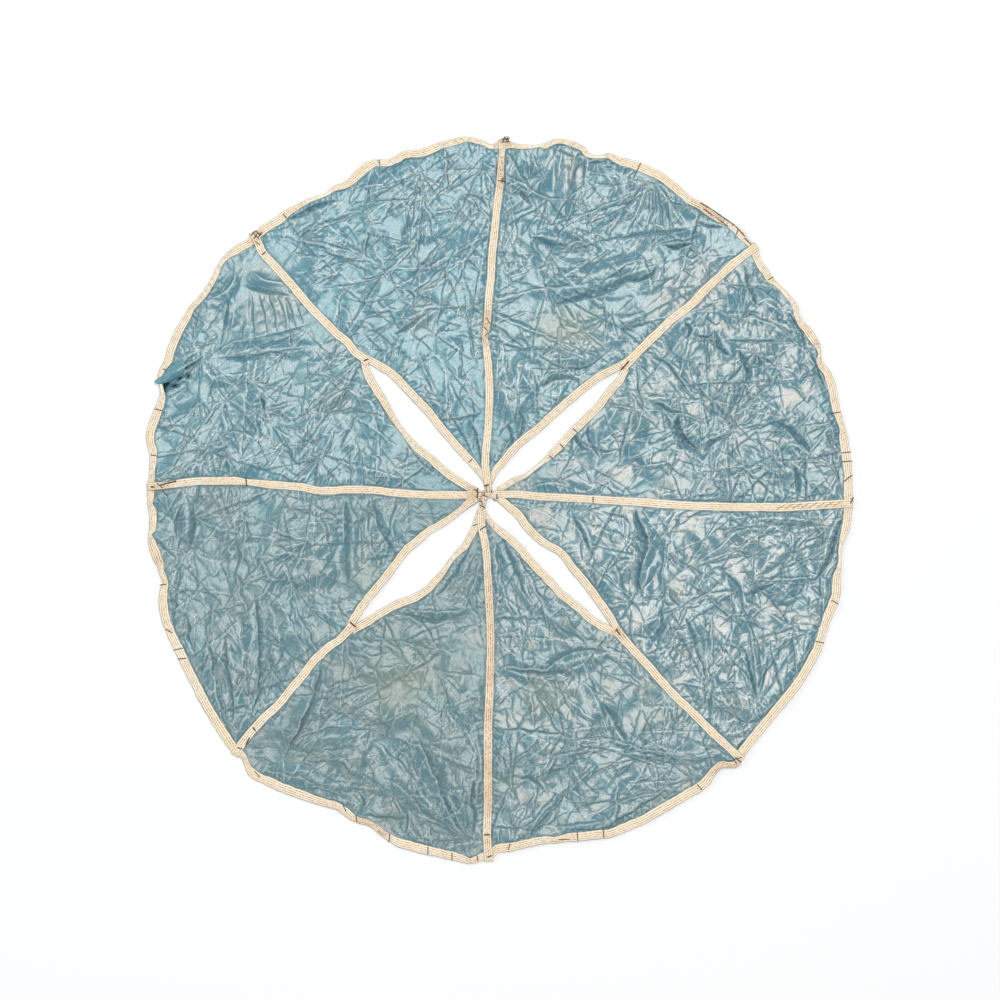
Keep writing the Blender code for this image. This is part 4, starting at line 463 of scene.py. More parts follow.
# Sewn bars and loose thread ends, in pattern squares, 1 thick unless stated. The last ones slant across
# the twisted end of a seam.
Mark = namedtuple("Mark", "across_0 down_0 across_1 down_1 thick", defaults=[1])
MARKS = [Mark(*row) for row in (
    (484, 486, 489, 484.5, 1.6), (477.5, 488, 477.5, 499, 1.3), (497, 494, 497, 499, 1.2),
    (480, 505, 485, 508, 1.4), (473, 526, 477, 524, 1.2), (480, 530, 486, 526, 1.2),
    (498, 181, 506, 182, 1.2), (503, 178, 502, 184, 0.9), (501, 140, 506, 138, 1.1), (503, 142, 505, 136.5),
    (505, 140, 510, 138, 1.1), (507, 136.5, 508.5, 142), (501, 142.5, 510, 142, 0.9),
    (504, 139, 509, 141, 0.9), (262, 255, 266, 252, 1.4), (251, 236, 256, 231, 1.1), (254, 239, 258, 233),
    (256, 231, 261, 236, 1.1), (258, 238, 262, 232), (253, 233, 260, 240, 0.9), (256, 242, 260, 245, 0.9),
    (482, 495.5, 488, 496.5, 1.2), (484, 491.5, 484.5, 495), (468.5, 462.5, 472.5, 459, 1.1),
    (573, 428.5, 577, 432.5, 1.1), (560, 444, 563.5, 448, 1.1), (549, 455.5, 553, 459, 1.1),
    (593, 496.5, 593, 502.5, 1.1), (486.5, 318, 490, 324, 0.9), (484, 327, 488, 331, 0.9),
    (485, 336, 488, 333, 0.9), (737, 758, 742, 757), (734, 760, 737, 764), (237, 747, 243, 749),
    (364, 361, 369, 359, 1.6), (621, 370, 629, 361, 1.8), (616, 629, 620, 635, 1.6),
    (350, 622, 356, 627, 1.6), (253, 727, 256, 731, 1.4), (246, 745, 250, 737, 1.4),
    (484, 834.5, 490, 834.5, 1.5), (487, 857, 492, 855, 1.5), (850, 503.5, 853, 497, 1.4),
    (735, 757, 741, 762, 1.5), (151, 487, 155, 487, 1.4), (161, 485, 177, 481, 1.5),
    (163, 491, 168, 496, 1.3), (157, 483, 163, 488), (246, 478, 247, 486, 1.3), (379, 160, 380, 166),
    (283, 214, 287, 219), (640.5, 163.5, 633.5, 178), (738, 229, 736, 235), (768, 280, 773, 277),
    (829, 414, 840, 412), (841, 453, 851, 452), (841, 462, 852, 461), (843, 482, 852, 475),
    (831, 600, 838, 604), (815, 641, 824, 643), (697, 784, 702, 790), (603, 829, 604, 838),
    (577, 832, 578, 841), (558, 839, 570, 839, 0.9), (508, 850, 510, 843), (477, 855, 478, 861),
    (452, 852, 452, 860), (428, 846, 428, 854), (390, 833, 389, 842), (356, 815, 357, 822),
    (343, 804, 346, 811), (255, 771, 260, 777), (166, 629, 173, 633), (174, 650, 183, 648),
    (178, 659, 187, 658), (160, 585, 167, 584), (151, 455, 157, 456), (155, 409, 163, 411),
    # The bars from (700, 203) to (751, 245) draw a dark outline along the outer edge of the rim tape, partly
    # browned edge and partly painted shade.
    (163, 369, 169, 371), (700, 203, 712, 210), (712, 210, 722, 217, 1.1), (722, 217, 735, 226, 1.1),
    (735, 226, 745, 237, 1.1), (703, 209, 713, 216, 0.9), (715, 217, 728, 227, 0.9), (744, 238, 751, 245),
    (474, 489, 479, 493), (475, 499, 480, 501), (491, 489, 492, 493, 0.9), (492.5, 499, 496.5, 501),
    (486, 486, 486.5, 493, 0.8), (480.5, 500, 483, 505, 0.9), (466, 507, 464, 502.5, 0.9),
)] + [Mark(across, 509.5 - 0.045 * (across - 776), across + 9, 504.5 - 0.055 * (across - 776), 0.45)
      for across in range(776, 840, 8)]

# Webs of straight creases, coarse to fine. Reach is in spacings, joined the share that ends on another star.
Web = namedtuple("Web", "spacing reach density joined wide steep seed")
WEBS = [
    Web(0.085, 2.0, 1.2, 0.6, 0.0036, 0.45, 50), Web(0.044, 2.4, 1.0, 0.6, 0.0024, 0.48, 100),
    Web(0.026, 2.8, 0.7, 0.5, 0.0016, 0.48, 200), Web(0.016, 2.8, 0.35, 0.4, 0.0012, 0.45, 300),
]


def place(across, down):
    """World place of a pattern place, in metres."""
    return (across - GRID_MIDDLE) * GRID + SHIFT[0], (GRID_MIDDLE - down) * GRID + SHIFT[1]


def placed(numbers, columns):
    """World places from a flat run of table numbers, with any further column in metres."""
    rows = np.array(numbers, float).reshape(-1, columns)
    return np.column_stack([*place(rows[:, 0], rows[:, 1]), rows[:, 2:] * GRID])


def smooth_line(points, step):
    """A smooth curve through the points, with a row about every step metres."""
    padded = np.vstack([2 * points[0] - points[1], points, 2 * points[-1] - points[-2]])
    rows = []
    for start in range(len(points) - 1):
        before, here, there, after = padded[start:start + 4]
        count = max(1, int(round(np.linalg.norm(there[:2] - here[:2]) / step)))
        t = (np.arange(count) / count)[:, None]
        rows.append(0.5 * (2 * here + (there - before) * t
                           + (2 * before - 5 * here + 4 * there - after) * t ** 2
                           + (3 * here - before - 3 * there + after) * t ** 3))
    rows.append(points[-1:])
    return np.vstack(rows)


def tape_line(numbers):
    """The smooth middle line of a tape with its width, from a table row."""
    return smooth_line(placed(numbers, 3), TAPE_STEP)


def smoothstep(low, high, value):
    """0 below low, 1 above high and a soft step between."""
    t = np.clip((value - low) / (high - low), 0.0, 1.0)
    return t * t * (3 - 2 * t)


def hashed(i, j, seed):
    """A fixed random number from 0 to 1 for each lattice place."""
    value = np.sin(i * HASH_STEPS[0] + j * HASH_STEPS[1] + seed * HASH_STEPS[2]) * HASH_SCALE
    return value - np.floor(value)


def warp(x, y, seed, reach):
    """A smooth wandering from about -1 to 1, the sum of three seeded waves about as long as the reach."""
    total = 0.0
    for wave in range(3):
        angle = WARP_TURN * hashed(seed, wave, 3)
        rate = WARP_TURN / reach * (0.7 + 0.6 * hashed(seed, wave, 5))
        phase = WARP_TURN * hashed(seed, wave, 7)
        total = total + np.sin(rate * (x * math.cos(angle) + y * math.sin(angle)) + phase)
    return total / 2.2


class Field:
    """A square grid of heights or strengths over the floor."""

    axis = -HALF_FIELD + np.arange(CELLS + 1) * CELL
    x, y = np.meshgrid(axis, axis)

    @staticmethod
    def blank(value=0.0):
        """A grid with the same value everywhere."""
        return np.full((CELLS + 1, CELLS + 1), value)

    @staticmethod
    def window(xs, ys, margin=0.0):
        """The slices of the grid within a margin of some places, with their x and y."""
        spans = []
        for places in (xs, ys):
            first = max(0, int((min(places) - margin + HALF_FIELD) / CELL))
            last = min(CELLS + 1, int((max(places) + margin + HALF_FIELD) / CELL) + 2)
            spans.append(slice(first, last))
        x, y = np.meshgrid(Field.axis[spans[0]], Field.axis[spans[1]])
        return (spans[1], spans[0]), x, y


def blurred(field, reach):
    """The field after three running means."""
    half = max(1, int(round(reach / CELL / 1.7)))
    for _ in range(3):
        for axis in (0, 1):
            padding = [(half + 1, half) if axis == side else (0, 0) for side in (0, 1)]
            total = np.cumsum(np.pad(field, padding, mode="edge"), axis=axis)
            high = np.take(total, np.arange(2 * half + 1, total.shape[axis]), axis=axis)
            low = np.take(total, np.arange(total.shape[axis] - 2 * half - 1), axis=axis)
            field = (high - low) / (2 * half + 1)
    return field


def sampled(field, x, y):
    """Field values between the cells."""
    u, v = (np.clip((way + HALF_FIELD) / CELL, 0, CELLS - 0.001) for way in (x, y))
    i, j = u.astype(int), v.astype(int)
    a, b = u - i, v - j
    return ((field[j, i] * (1 - a) + field[j, i + 1] * a) * (1 - b)
            + (field[j + 1, i] * (1 - a) + field[j + 1, i + 1] * a) * b)


def lay_triangle(field, xs, ys, heights, slack=0.0):
    """Raises a field to a flat triangle, given by its corners."""
    (ax, bx, cx), (ay, by, cy), (az, bz, cz) = xs, ys, heights
    area = (bx - ax) * (cy - ay) - (cx - ax) * (by - ay)
    where, x, y = Field.window(xs, ys)
    b = ((x - ax) * (cy - ay) - (cx - ax) * (y - ay)) / area
    c = ((bx - ax) * (y - ay) - (x - ax) * (by - ay)) / area
    inside = (b >= -slack) & (c >= -slack) & (b + c <= 1 + slack)
    height = az + b * (bz - az) + c * (cz - az)
    field[where] = np.where(inside, np.maximum(field[where], height), field[where])


def faces_up(xs, ys, least):
    """Whether a triangle faces up and has at least the least area, both areas doubled."""
    return (xs[1] - xs[0]) * (ys[2] - ys[0]) - (xs[2] - xs[0]) * (ys[1] - ys[0]) >= least


def solid_tops(names):
    """The upper faces of the named solids as a height field."""
    field = Field.blank(CLOTH)
    for name in names:
        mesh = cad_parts[name].data
        mesh.calc_loop_triangles()
        corners = np.empty(len(mesh.vertices) * 3)
        mesh.vertices.foreach_get("co", corners)
        faces = np.empty(len(mesh.loop_triangles) * 3, dtype=np.int32)
        mesh.loop_triangles.foreach_get("vertices", faces)
        for triangle in corners.reshape(-1, 3)[faces.reshape(-1, 3)]:
            xs, ys, heights = triangle.T
            if faces_up(xs, ys, least=1e-9):
                lay_triangle(field, xs, ys, heights, slack=0.001)
    return field


def to_segment(start, end, x, y):
    """The nearest place on a straight piece as a share of its length, how far off it is, and the length."""
    dx, dy = end[0] - start[0], end[1] - start[1]
    length = max(math.hypot(dx, dy), 1e-9)
    t = np.clip(((x - start[0]) * dx + (y - start[1]) * dy) / length ** 2, 0, 1)
    return t, np.hypot(x - start[0] - t * dx, y - start[1] - t * dy), length


def along_line(line, x, y):
    """The distance of places from a line, the side on which they lie, the way along it, and its length."""
    best, side, along = np.full(x.shape, 1e9), np.ones(x.shape), np.zeros(x.shape)
    gone = 0.0
    for start, end in zip(line[:-1], line[1:]):
        t, off, length = to_segment(start, end, x, y)
        turn = (end[0] - start[0]) * (y - start[1]) - (end[1] - start[1]) * (x - start[0])
        nearer = off < best
        best = np.where(nearer, off, best)
        side = np.where(nearer, np.sign(turn), side)
        along = np.where(nearer, gone + t * length, along)
        gone += length
    return best, side, along, gone


def grain(x, y):
    """The way the crumples run at places, in radians, and their relief, from the anchor table."""
    east, north, relief, weight = 0.0, 0.0, 0.0, 1e-9
    for anchor in ANCHORS:
        ax, ay = place(anchor.across, anchor.down)
        near = np.exp(-((x - ax) ** 2 + (y - ay) ** 2) / GRAIN_REACH ** 2) + 1e-7
        turn = 2 * math.radians(anchor.direction)
        east = east + near * math.cos(turn)
        north = north + near * math.sin(turn)
        relief = relief + near * anchor.relief
        weight = weight + near
    return 0.5 * np.arctan2(north, east), relief / weight


def lattice(spacing):
    """Column and row numbers of a lattice that covers the canopy."""
    count = math.ceil(CANOPY_REACH / spacing)
    j, i = np.mgrid[-count:count + 1, -count:count + 1].reshape(2, -1)
    return i, j


def scattered(i, j, spacing, loose, seed):
    """The places of lattice points, each moved at random by up to half of loose spacings."""
    return ((i + 0.5 * (j % 2) + loose * (hashed(i, j, seed) - 0.5)) * spacing,
            (j + loose * (hashed(i, j, seed + 1) - 0.5)) * spacing)


def plates():
    """Large flat triangles, each a little tilted."""
    i, j = lattice(PLATE_SIZE)
    px, py = scattered(i, j, PLATE_SIZE, PLATE_LOOSE, 41)
    tall = PLATE_TALL * hashed(i, j, 43) * grain(px, py)[1]
    field = Field.blank()
    for corners in delaunay_2d_cdt([Vector(pair) for pair in zip(px, py)], [], [], 0, 1e-7)[2]:
        xs, ys = px[corners], py[corners]
        if faces_up(xs, ys, least=1e-7) and max(np.abs(xs).max(), np.abs(ys).max()) <= HALF_FIELD:
            lay_triangle(field, xs, ys, tall[corners])
    return field


def web_creases(web):
    """Straight creases from the stars of a web: both ends, half width, steepness, lean and whether joined."""
    i, j = lattice(web.spacing)
    sx, sy = scattered(i, j, web.spacing, STAR_LOOSE, web.seed)
    kept = np.hypot(sx, sy) < CANOPY_REACH
    i, j, sx, sy = i[kept], j[kept], sx[kept], sy[kept]
    along, relief = grain(sx, sy)
    kind = hashed(i, j, web.seed + 2)
    rays = np.where(kind < STAR_SHARE, STAR_RAYS, np.where(kind < FORK_SHARE, FORK_RAYS, 1)) * web.density
    middle = along + RAY_SPREAD * (hashed(i, j, web.seed + 3) - 0.5)
    middle = middle + math.pi * (hashed(i, j, web.seed + 4) < 0.5)
    spread = RAY_SPREAD * np.where(kind < STAR_SHARE, 1.6, 1.0)
    rows = []
    for ray in range(int(STAR_RAYS * web.density + 1)):
        pick = [hashed(i + 17 * ray, j - 5 * ray, web.seed + 5 + k) for k in range(6)]
        used = ray < rays - 0.5 + hashed(i, j, web.seed + 20)
        angle = middle + spread * ((ray + pick[0]) / np.maximum(rays, 1) - 0.5)
        reach = web.spacing * web.reach * (0.35 + 0.65 * pick[1])
        reach = reach * (0.65 + 0.35 * np.abs(np.cos(angle - along)))
        ex, ey = sx + reach * np.cos(angle), sy + reach * np.sin(angle)
        tj = np.round(ey / web.spacing)
        ti = np.round(ex / web.spacing - 0.5 * (tj % 2))
        joined = (pick[2] < web.joined) & ((ti != i) | (tj != j))
        jx, jy = scattered(ti, tj, web.spacing, STAR_LOOSE, web.seed)
        ex, ey = np.where(joined, jx, ex), np.where(joined, jy, ey)
        wide = web.wide * (0.7 + 0.9 * pick[4] ** 3)
        steep = np.where(pick[3] < RIDGE_SHARE, 1.0, -1.0) * web.steep * (0.6 + 0.6 * pick[5]) * relief
        lean = 0.8 * (hashed(i - ray, j + ray, web.seed + 15) - 0.5)
        rows.append(np.column_stack([sx, sy, ex, ey, wide, steep, lean, joined])[used])
    return np.vstack(rows)


def note_edge(edges, kind, where, signed):
    """Keeps, for each place, the signed distance to the nearest ridge or valley line."""
    edges[kind][where] = np.where(np.abs(signed) < np.abs(edges[kind][where]), signed, edges[kind][where])


def note_lines(edges, where, raised, off, steep_side, reach, fade, foot_fade):
    """Notes the line of a crease and the line at its foot, less near where they fade."""
    kinds = ("ridge", "valley") if raised else ("valley", "ridge")
    leaning = np.where(steep_side, 1.0, -1.0)
    foot = leaning * off - reach
    note_edge(edges, kinds[0], where, leaning * (off + fade))
    note_edge(edges, kinds[1], where, np.sign(foot) * (np.abs(foot) + foot_fade))


def lay_web(web, field, edges):
    """Adds the creases of a web to a height field, each a straight tent that narrows to its ends."""
    for ax, ay, bx, by, wide, steep, lean, joined in web_creases(web):
        dx, dy = bx - ax, by - ay
        length = math.hypot(dx, dy)
        if length < 3 * wide:
            continue
        where, x, y = Field.window((ax, bx), (ay, by), SHALLOW * wide)
        t = ((x - ax) * dx + (y - ay) * dy) / length ** 2
        off = ((x - ax) * dy - (y - ay) * dx) / length
        way = np.clip(t, 0, 1)
        if joined:
            narrow = wide * (0.3 + 0.7 * (4 * way * (1 - way)) ** 0.6)
        else:
            narrow = wide * ((1 - way) * np.minimum(1, 0.4 + 3 * way))
        steep_side = off * lean > 0
        off = np.abs(off)
        inside = smoothstep(-wide / length, 0.0, t) * smoothstep(1 + wide / length, 1.0, t)
        field[where] += steep * np.maximum(0, narrow - off / np.where(steep_side, 1.0, SHALLOW)) * inside
        fade = FADE * (1 - inside * np.minimum(1, 1.6 * narrow / wide)) + max(0, 0.0018 - web.wide)
        fade = fade + FADE * max(0, 0.62 - abs(steep) / web.steep)
        note_lines(edges, where, steep > 0, off, steep_side, narrow, fade, fade + 0.0003)


def bent(x, y):
    """Places moved a little, so that straight creases wander."""
    sway = 0.0011 + 0.0006 * smoothstep(0.02, -0.10, y) * smoothstep(0.15, 0.05, x)
    sway = sway * (1 - 0.7 * stain_values(x, y, "calm"))
    return (x + sway * (warp(x, y, 31, 0.036) + 0.35 * warp(x, y, 32, 0.015)),
            y + sway * (warp(x, y, 33, 0.034) + 0.35 * warp(x, y, 34, 0.014)))


def crumple():
    """Tilted plates under webs of straight creases, coarse to fine."""
    field = plates()
    edges = {"ridge": Field.blank(NO_EDGE), "valley": Field.blank(NO_EDGE)}
    for web in WEBS:
        lay_web(web, field, edges)
    places = bent(Field.x, Field.y)
    swell = 0.0016 * warp(Field.x, Field.y, 11, 0.14) + 0.0009 * warp(Field.x, Field.y, 12, 0.075)
    return sampled(field, *places) + swell, {kind: sampled(edge, *places) for kind, edge in edges.items()}


def lay_crease(crease, height, fold_shade_field, edges):
    """Adds one crease to the height field, its painted fold shade to the shade field and its lines to the
    edges.
    """
    line = smooth_line(placed(crease.path, 2), CREASE_STEP)
    width = crease.width * MM * (0.32 + 0.24 * crease.deep)
    steep_reach = (0.8 + 0.35 * crease.deep) * width
    where, x, y = Field.window(line[:, 0], line[:, 1], CREASE_SHALLOW * width)
    off, side, along, length = along_line(line, *bent(x, y))
    steep = side * crease.lean > 0
    ends = np.minimum(1, 3.5 * along / length) * np.minimum(1, 2.2 * (1 - along / length))
    taper = 0.25 + 0.75 * ends
    reach = np.where(steep, steep_reach, CREASE_SHALLOW * width) * taper
    rise = (0.40 + 0.22 * crease.deep) * crease.rise * MM
    height[where] += rise * np.maximum(0, 1 - off / reach) * (0.1 + 0.9 * ends)
    shade = np.where(steep, smoothstep(1.5, 0.15, off / (width * taper)), 0)
    shade = shade * (0.93 + 0.20 * warp(x, y, 51, 0.009))
    fold_shade_field[where] = np.maximum(fold_shade_field[where], crease.deep * shade * np.minimum(1, 3 * ends))
    fade = FADE * (1 - np.minimum(1, 2.5 * ends))
    note_lines(edges, where, crease.rise > 0, off, steep, steep_reach * taper, fade, fade)


def fan_creases():
    """The rays of each fan as creases."""
    rows = []
    for number, fan in enumerate(FANS):
        span = fan.end_deg - fan.start_deg
        for ray in range(fan.rays):
            pick = [hashed(number, ray, seed) for seed in (1, 2, 3, 4)]
            turn = (ray + 0.8 * (pick[0] - 0.5)) / max(1, fan.rays - (span < 360))
            angle = math.radians(fan.start_deg + turn * span)
            reach = fan.reach * (0.45 + 0.55 * pick[1])
            path = [fan.across, fan.down]
            for share, way in ((0.5, angle + math.radians(14 * (pick[2] - 0.5))), (1, angle)):
                path += [fan.across + share * reach * math.cos(way), fan.down - share * reach * math.sin(way)]
            sign = 1 if pick[3] > 0.35 else -1
            rows.append(Crease(path, fan.width * (0.45 + 0.35 * pick[1]),
                               sign * fan.rise * (0.25 + 0.3 * pick[2]), 0.4 * pick[0], sign))
    return rows


def tape_lines():
    """Every tape's middle line with its width, and the level at which it lies, by the name of its node."""
    lines = {}
    for kind, table in (("rim", RIM), ("slot", SLOTS), ("seam", SEAMS)):
        for name, numbers in table.items():
            level = 2 if name == "ns" else int(kind == "seam")
            lines[f"{kind}_tape_{name}"] = tape_line(numbers), level
    return lines


def tape_distance(lines):
    """Distance from the nearest tape's edge, and the way along that tape, over the whole field."""
    off, along = Field.blank(1.0), Field.blank()
    for number, (line, _) in enumerate(lines.values()):
        gone = number * TAPE_APART
        coarse = np.vstack([line[:-1:3], line[-1:]])
        for start, end in zip(coarse[:-1], coarse[1:]):
            where, x, y = Field.window((start[0], end[0]), (start[1], end[1]), TAPE_SIDE)
            t, away, length = to_segment(start, end, x, y)
            edge = away - 0.5 * (start[2] + t * (end[2] - start[2]))
            nearer = edge < off[where]
            off[where] = np.where(nearer, edge, off[where])
            along[where] = np.where(nearer, gone + t * length, along[where])
            gone += length
    return off, along


def gathers(off, along):
    """Short puckers that run away from the sewn edges, from four waves with their lengths and heights."""
    ripple = 0.0
    for turn, (wave, tall) in enumerate(((0.0105, 0.9), (0.0068, 0.6), (0.0172, 1.1), (0.0240, 1.0))):
        lean = 0.5 * np.sin(along * 9 + turn)
        ripple = ripple + tall * np.sin(TURN * (along + lean * off) / wave + 5 * np.sin(along * 21 + turn))
    strength = 0.5 + 0.5 * np.sin(along * 31) * np.sin(along * 13 + 2)
    return 0.00040 * ripple * strength * np.exp(-(np.maximum(off, 0) / 0.013) ** 2)


def cloth_field(lines):
    """The height of the cloth's top, the painted shade in its folds and along the tape edges, and the
    distances from its crease lines.
    """
    height = solid_tops([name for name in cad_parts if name.startswith("gore_")])
    height = CLOTH + KEPT_FOLDS * (blurred(height, FOLD_BLUR) - CLOTH) + LIFT
    fold_shade_field = Field.blank()
    off, along = tape_distance(lines)
    calm = stain_values(Field.x, Field.y, "calm")
    edges = {"ridge": Field.blank(NO_EDGE), "valley": Field.blank(NO_EDGE)}
    for crease in CREASES + fan_creases():
        lay_crease(crease, height, fold_shade_field, edges)
    crumples, web_edges = crumple()
    # A painted contact shadow on the cloth along the edges of the tapes.
    tape_edge_shadow = 0.92 * smoothstep(0.0034, 0.0004, off) * (0.62 + 0.38 * warp(Field.x, Field.y, 52, 0.035))
    # The dark stains add painted shadow below the flap.
    fold_shade_field = np.maximum(np.maximum(fold_shade_field, tape_edge_shadow), stain_values(Field.x, Field.y, "dark"))
    for kind, edge in web_edges.items():
        fade = 0.003 * fold_shade_field + 0.003 * calm
        note_edge(edges, kind, slice(None), np.where(edge < 0, -1, 1) * (np.abs(edge) + fade))
    away = smoothstep(0.0, 0.012, off)
    height += crumples * (0.6 + 0.4 * away) * (1 - 0.8 * np.minimum(1, fold_shade_field)) * (1 - 0.75 * calm)
    height += gathers(off, along)
    height = FLOOR_GAP + 0.5 * (height - FLOOR_GAP + np.sqrt((height - FLOOR_GAP) ** 2 + FLOOR_BEND ** 2))
    under = blurred(height, 0.008)
    held = smoothstep(0.0016, -0.0010, off)
    return height * (1 - held) + np.minimum(under, HELD_LIMIT) * held, fold_shade_field, edges


def pile_on(pile, line):
    """Adds one tape's thickness to what lies under the next ones."""
    cover = Field.blank()
    for ax, ay, width in line[::2]:
        where, x, y = Field.window((ax,), (ay,), 0.012)
        near = smoothstep(0.5 * width + 0.004, 0.5 * width + 0.0005, np.hypot(x - ax, y - ay))
        cover[where] = np.maximum(cover[where], near)
    pile += (TAPE + SEWN_GAP) * cover


def linked(name, data):
    """A new object in the scene."""
    piece = bpy.data.objects.new(name, data)
    bpy.context.scene.collection.objects.link(piece)
    return piece


def new_mesh(name, points, faces):
    """A smooth-shaded mesh object from arrays of points and four-cornered faces."""
    mesh = bpy.data.meshes.new(name)
    points = np.asarray(points, dtype=np.float32)
    faces = np.asarray(faces, dtype=np.int32)
    mesh.vertices.add(len(points))
    mesh.vertices.foreach_set("co", points.ravel())
    mesh.loops.add(faces.size)
    mesh.loops.foreach_set("vertex_index", faces.ravel())
    mesh.polygons.add(len(faces))
    mesh.polygons.foreach_set("loop_start", np.arange(len(faces), dtype=np.int32) * faces.shape[1])
    mesh.polygons.foreach_set("use_smooth", np.ones(len(faces), dtype=bool))
    mesh.update(calc_edges=True)
    mesh.validate()
    return linked(name, mesh)


def add_values(piece, values):
    """Named numbers for each point of a piece, for its material."""
    count = len(piece.data.vertices)
    for name, numbers in values.items():
        layer = piece.data.attributes.new(name, "FLOAT", "POINT")
        layer.data.foreach_set("value", np.broadcast_to(numbers, count).astype(np.float32))


def dress(piece, material, node=None):
    """Gives a piece its material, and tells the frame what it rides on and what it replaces."""
    piece.data.materials.append(material)
    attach(piece, "root")
    if node:
        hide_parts(node)


def inside_outline(outline, x, y):
    """Whether places lie inside a closed outline."""
    within = np.zeros(x.shape, dtype=bool)
    for (ax, ay), (bx, by) in zip(outline, np.roll(outline, -1, axis=0)):
        if ay != by:
            within ^= ((ay > y) != (by > y)) & (x < (bx - ax) * (y - ay) / (by - ay) + ax)
    return within


def nearest_on(outline, x, y):
    """The nearest places on a closed outline."""
    best, near_x, near_y = np.full(x.shape, 1e9), x, y
    for start, end in zip(outline, np.roll(outline, -1, axis=0)):
        t, off, _ = to_segment(start, end, x, y)
        nearer = off < best
        best = np.where(nearer, off, best)
        near_x = np.where(nearer, start[0] + t * (end[0] - start[0]), near_x)
        near_y = np.where(nearer, start[1] + t * (end[1] - start[1]), near_y)
    return near_x, near_y


def cut_at(line, other):
    """The row of a line that comes nearest to the other line."""
    return int(np.argmin(along_line(other, line[:, 0], line[:, 1])[0]))


def gore_outline(gore, lines):
    """The cloth outline of one gore: two seams, the rim between them and one side of its slot."""
    rim, slot = (lines[f"{kind}_tape_{gore}"][0][:, :2] for kind in ("rim", "slot"))
    names = SEAM_RING[gore - 1], SEAM_RING[gore % 8]
    seams = []
    for name, tip in zip(names, (rim[0], rim[-1])):
        seam = lines[f"seam_tape_{name}"][0][:, :2]
        if name in LONG_SEAMS:
            middle = np.linalg.norm(seam - HUB, axis=1).argmin()
            starts_nearer = np.linalg.norm(seam[0] - tip) < np.linalg.norm(seam[-1] - tip)
            seam = seam[middle::-1] if starts_nearer else seam[middle:]
            seam = seam[:cut_at(seam, rim) + 1]
            seam = seam[cut_at(seam[:HUB_ROWS], slot):]
        else:
            seam = seam[::-1]
            seam = seam[:cut_at(seam, rim) + 1]
        seams.append(seam)
    rim = rim[cut_at(rim, seams[0]):cut_at(rim, seams[1]) + 1]
    path = [seams[0], rim, seams[1][::-1]]
    path = path + [slot] if names[0] in LONG_SEAMS else [slot[::-1]] + path
    points = np.vstack(path)
    keep = [0]
    for number in range(1, len(points)):
        if np.linalg.norm(points[number] - points[keep[-1]]) > OUTLINE_STEP:
            keep.append(number)
    return points[keep]


def add_gore(gore, lines, height):
    """One gore's cloth as a fine sheet on the height field, with its outline and the places of its points."""
    outline = gore_outline(gore, lines)
    low, high = outline.min(axis=0) - 2 * CLOTH_STEP, outline.max(axis=0) + 2 * CLOTH_STEP
    x, y = np.meshgrid(*(np.arange(low[k], high[k], CLOTH_STEP) for k in (0, 1)))
    within = inside_outline(outline, x, y)
    shifts = [(slice(down, len(x) - 1 + down), slice(right, len(x[0]) - 1 + right))
              for down, right in ((0, 0), (0, 1), (1, 1), (1, 0))]
    used = sum(within[shift].astype(int) for shift in shifts) >= 2
    corner = np.zeros(x.shape, dtype=bool)
    for shift in shifts:
        corner[shift] |= used
    outer = corner & ~within
    x[outer], y[outer] = nearest_on(outline, x[outer], y[outer])
    index = np.full(x.shape, -1)
    index[corner] = np.arange(corner.sum())
    faces = np.column_stack([index[shift][used] for shift in shifts])
    x, y = x[corner], y[corner]
    piece = new_mesh(f"canopy_cloth_{gore}", np.column_stack([x, y, sampled(height, x, y)]), faces)
    return piece, outline, x, y


def ring_sides(rings, count):
    """The side faces of a tube: rings of points one after another, with the same count in each."""
    ring, k = np.indices((rings - 1, count))
    here, beside = ring * count + k, ring * count + (k + 1) % count
    return np.stack([here + count, beside + count, beside, here], axis=-1).reshape(-1, 4)


def add_tape(name, line, height, pile):
    """One sewn tape: a thin closed ribbon that lies along the cloth."""
    steps = np.linalg.norm(np.diff(line[:, :2], axis=0), axis=1)
    along = np.concatenate([[0], np.cumsum(steps)])
    ahead = np.gradient(line[:, :2], axis=0)
    ahead /= np.linalg.norm(ahead, axis=1)[:, None]
    seed = sum(map(ord, name))
    left, right = (0.5 * line[:, 2] * (1 + 0.05 * warp(along, 0, seed + k, 0.02)
                                       + 0.04 * warp(along, 0, seed + k + 9, 0.007)) for k in (0, 1))
    across = np.linspace(-1, 1, TAPE_ACROSS + 1)
    outward = np.abs(across)
    reach = np.where(across < 0, left[:, None], right[:, None]) * across
    x, y = line[:, :1] - ahead[:, 1:] * reach, line[:, 1:2] + ahead[:, :1] * reach
    base = sampled(height, x, y) + sampled(pile, x, y) + SEWN_GAP
    wave = TURN * (along[:, None] + 0.001 * np.sin(3 * across)) / 0.0052
    pucker = 0.00016 * np.sin(wave + 2.2 * warp(along, 0, seed, 0.03)[:, None]) * (0.4 + 0.6 * outward)
    rounding = 0.00035 * outward ** 4
    top, bottom = base + TAPE - rounding + pucker, base + 0.8 * rounding
    ring = [np.hstack([over, under[:, ::-1]]) for over, under in ((x, x), (y, y), (top, bottom))]
    points = np.stack(ring, axis=-1).reshape(-1, 3)
    count = 2 * len(across)
    last = len(points) - count
    caps = [[start + k, start + count - 1 - k, start + count - 2 - k, start + k + 1][::order]
            for start, order in ((0, -1), (last, 1)) for k in range(TAPE_ACROSS)]
    piece = new_mesh(name, points, np.vstack([ring_sides(len(line), count), caps]))
    half = np.repeat(0.5 * line[:, 2], count)
    lateral = np.tile(np.concatenate([across, across[::-1]]), len(line))
    add_values(piece, {"along": np.repeat(along, count), "across": lateral * half, "half": half,
                       "worn": worn_values(points[:, 0], points[:, 1])})
    return piece


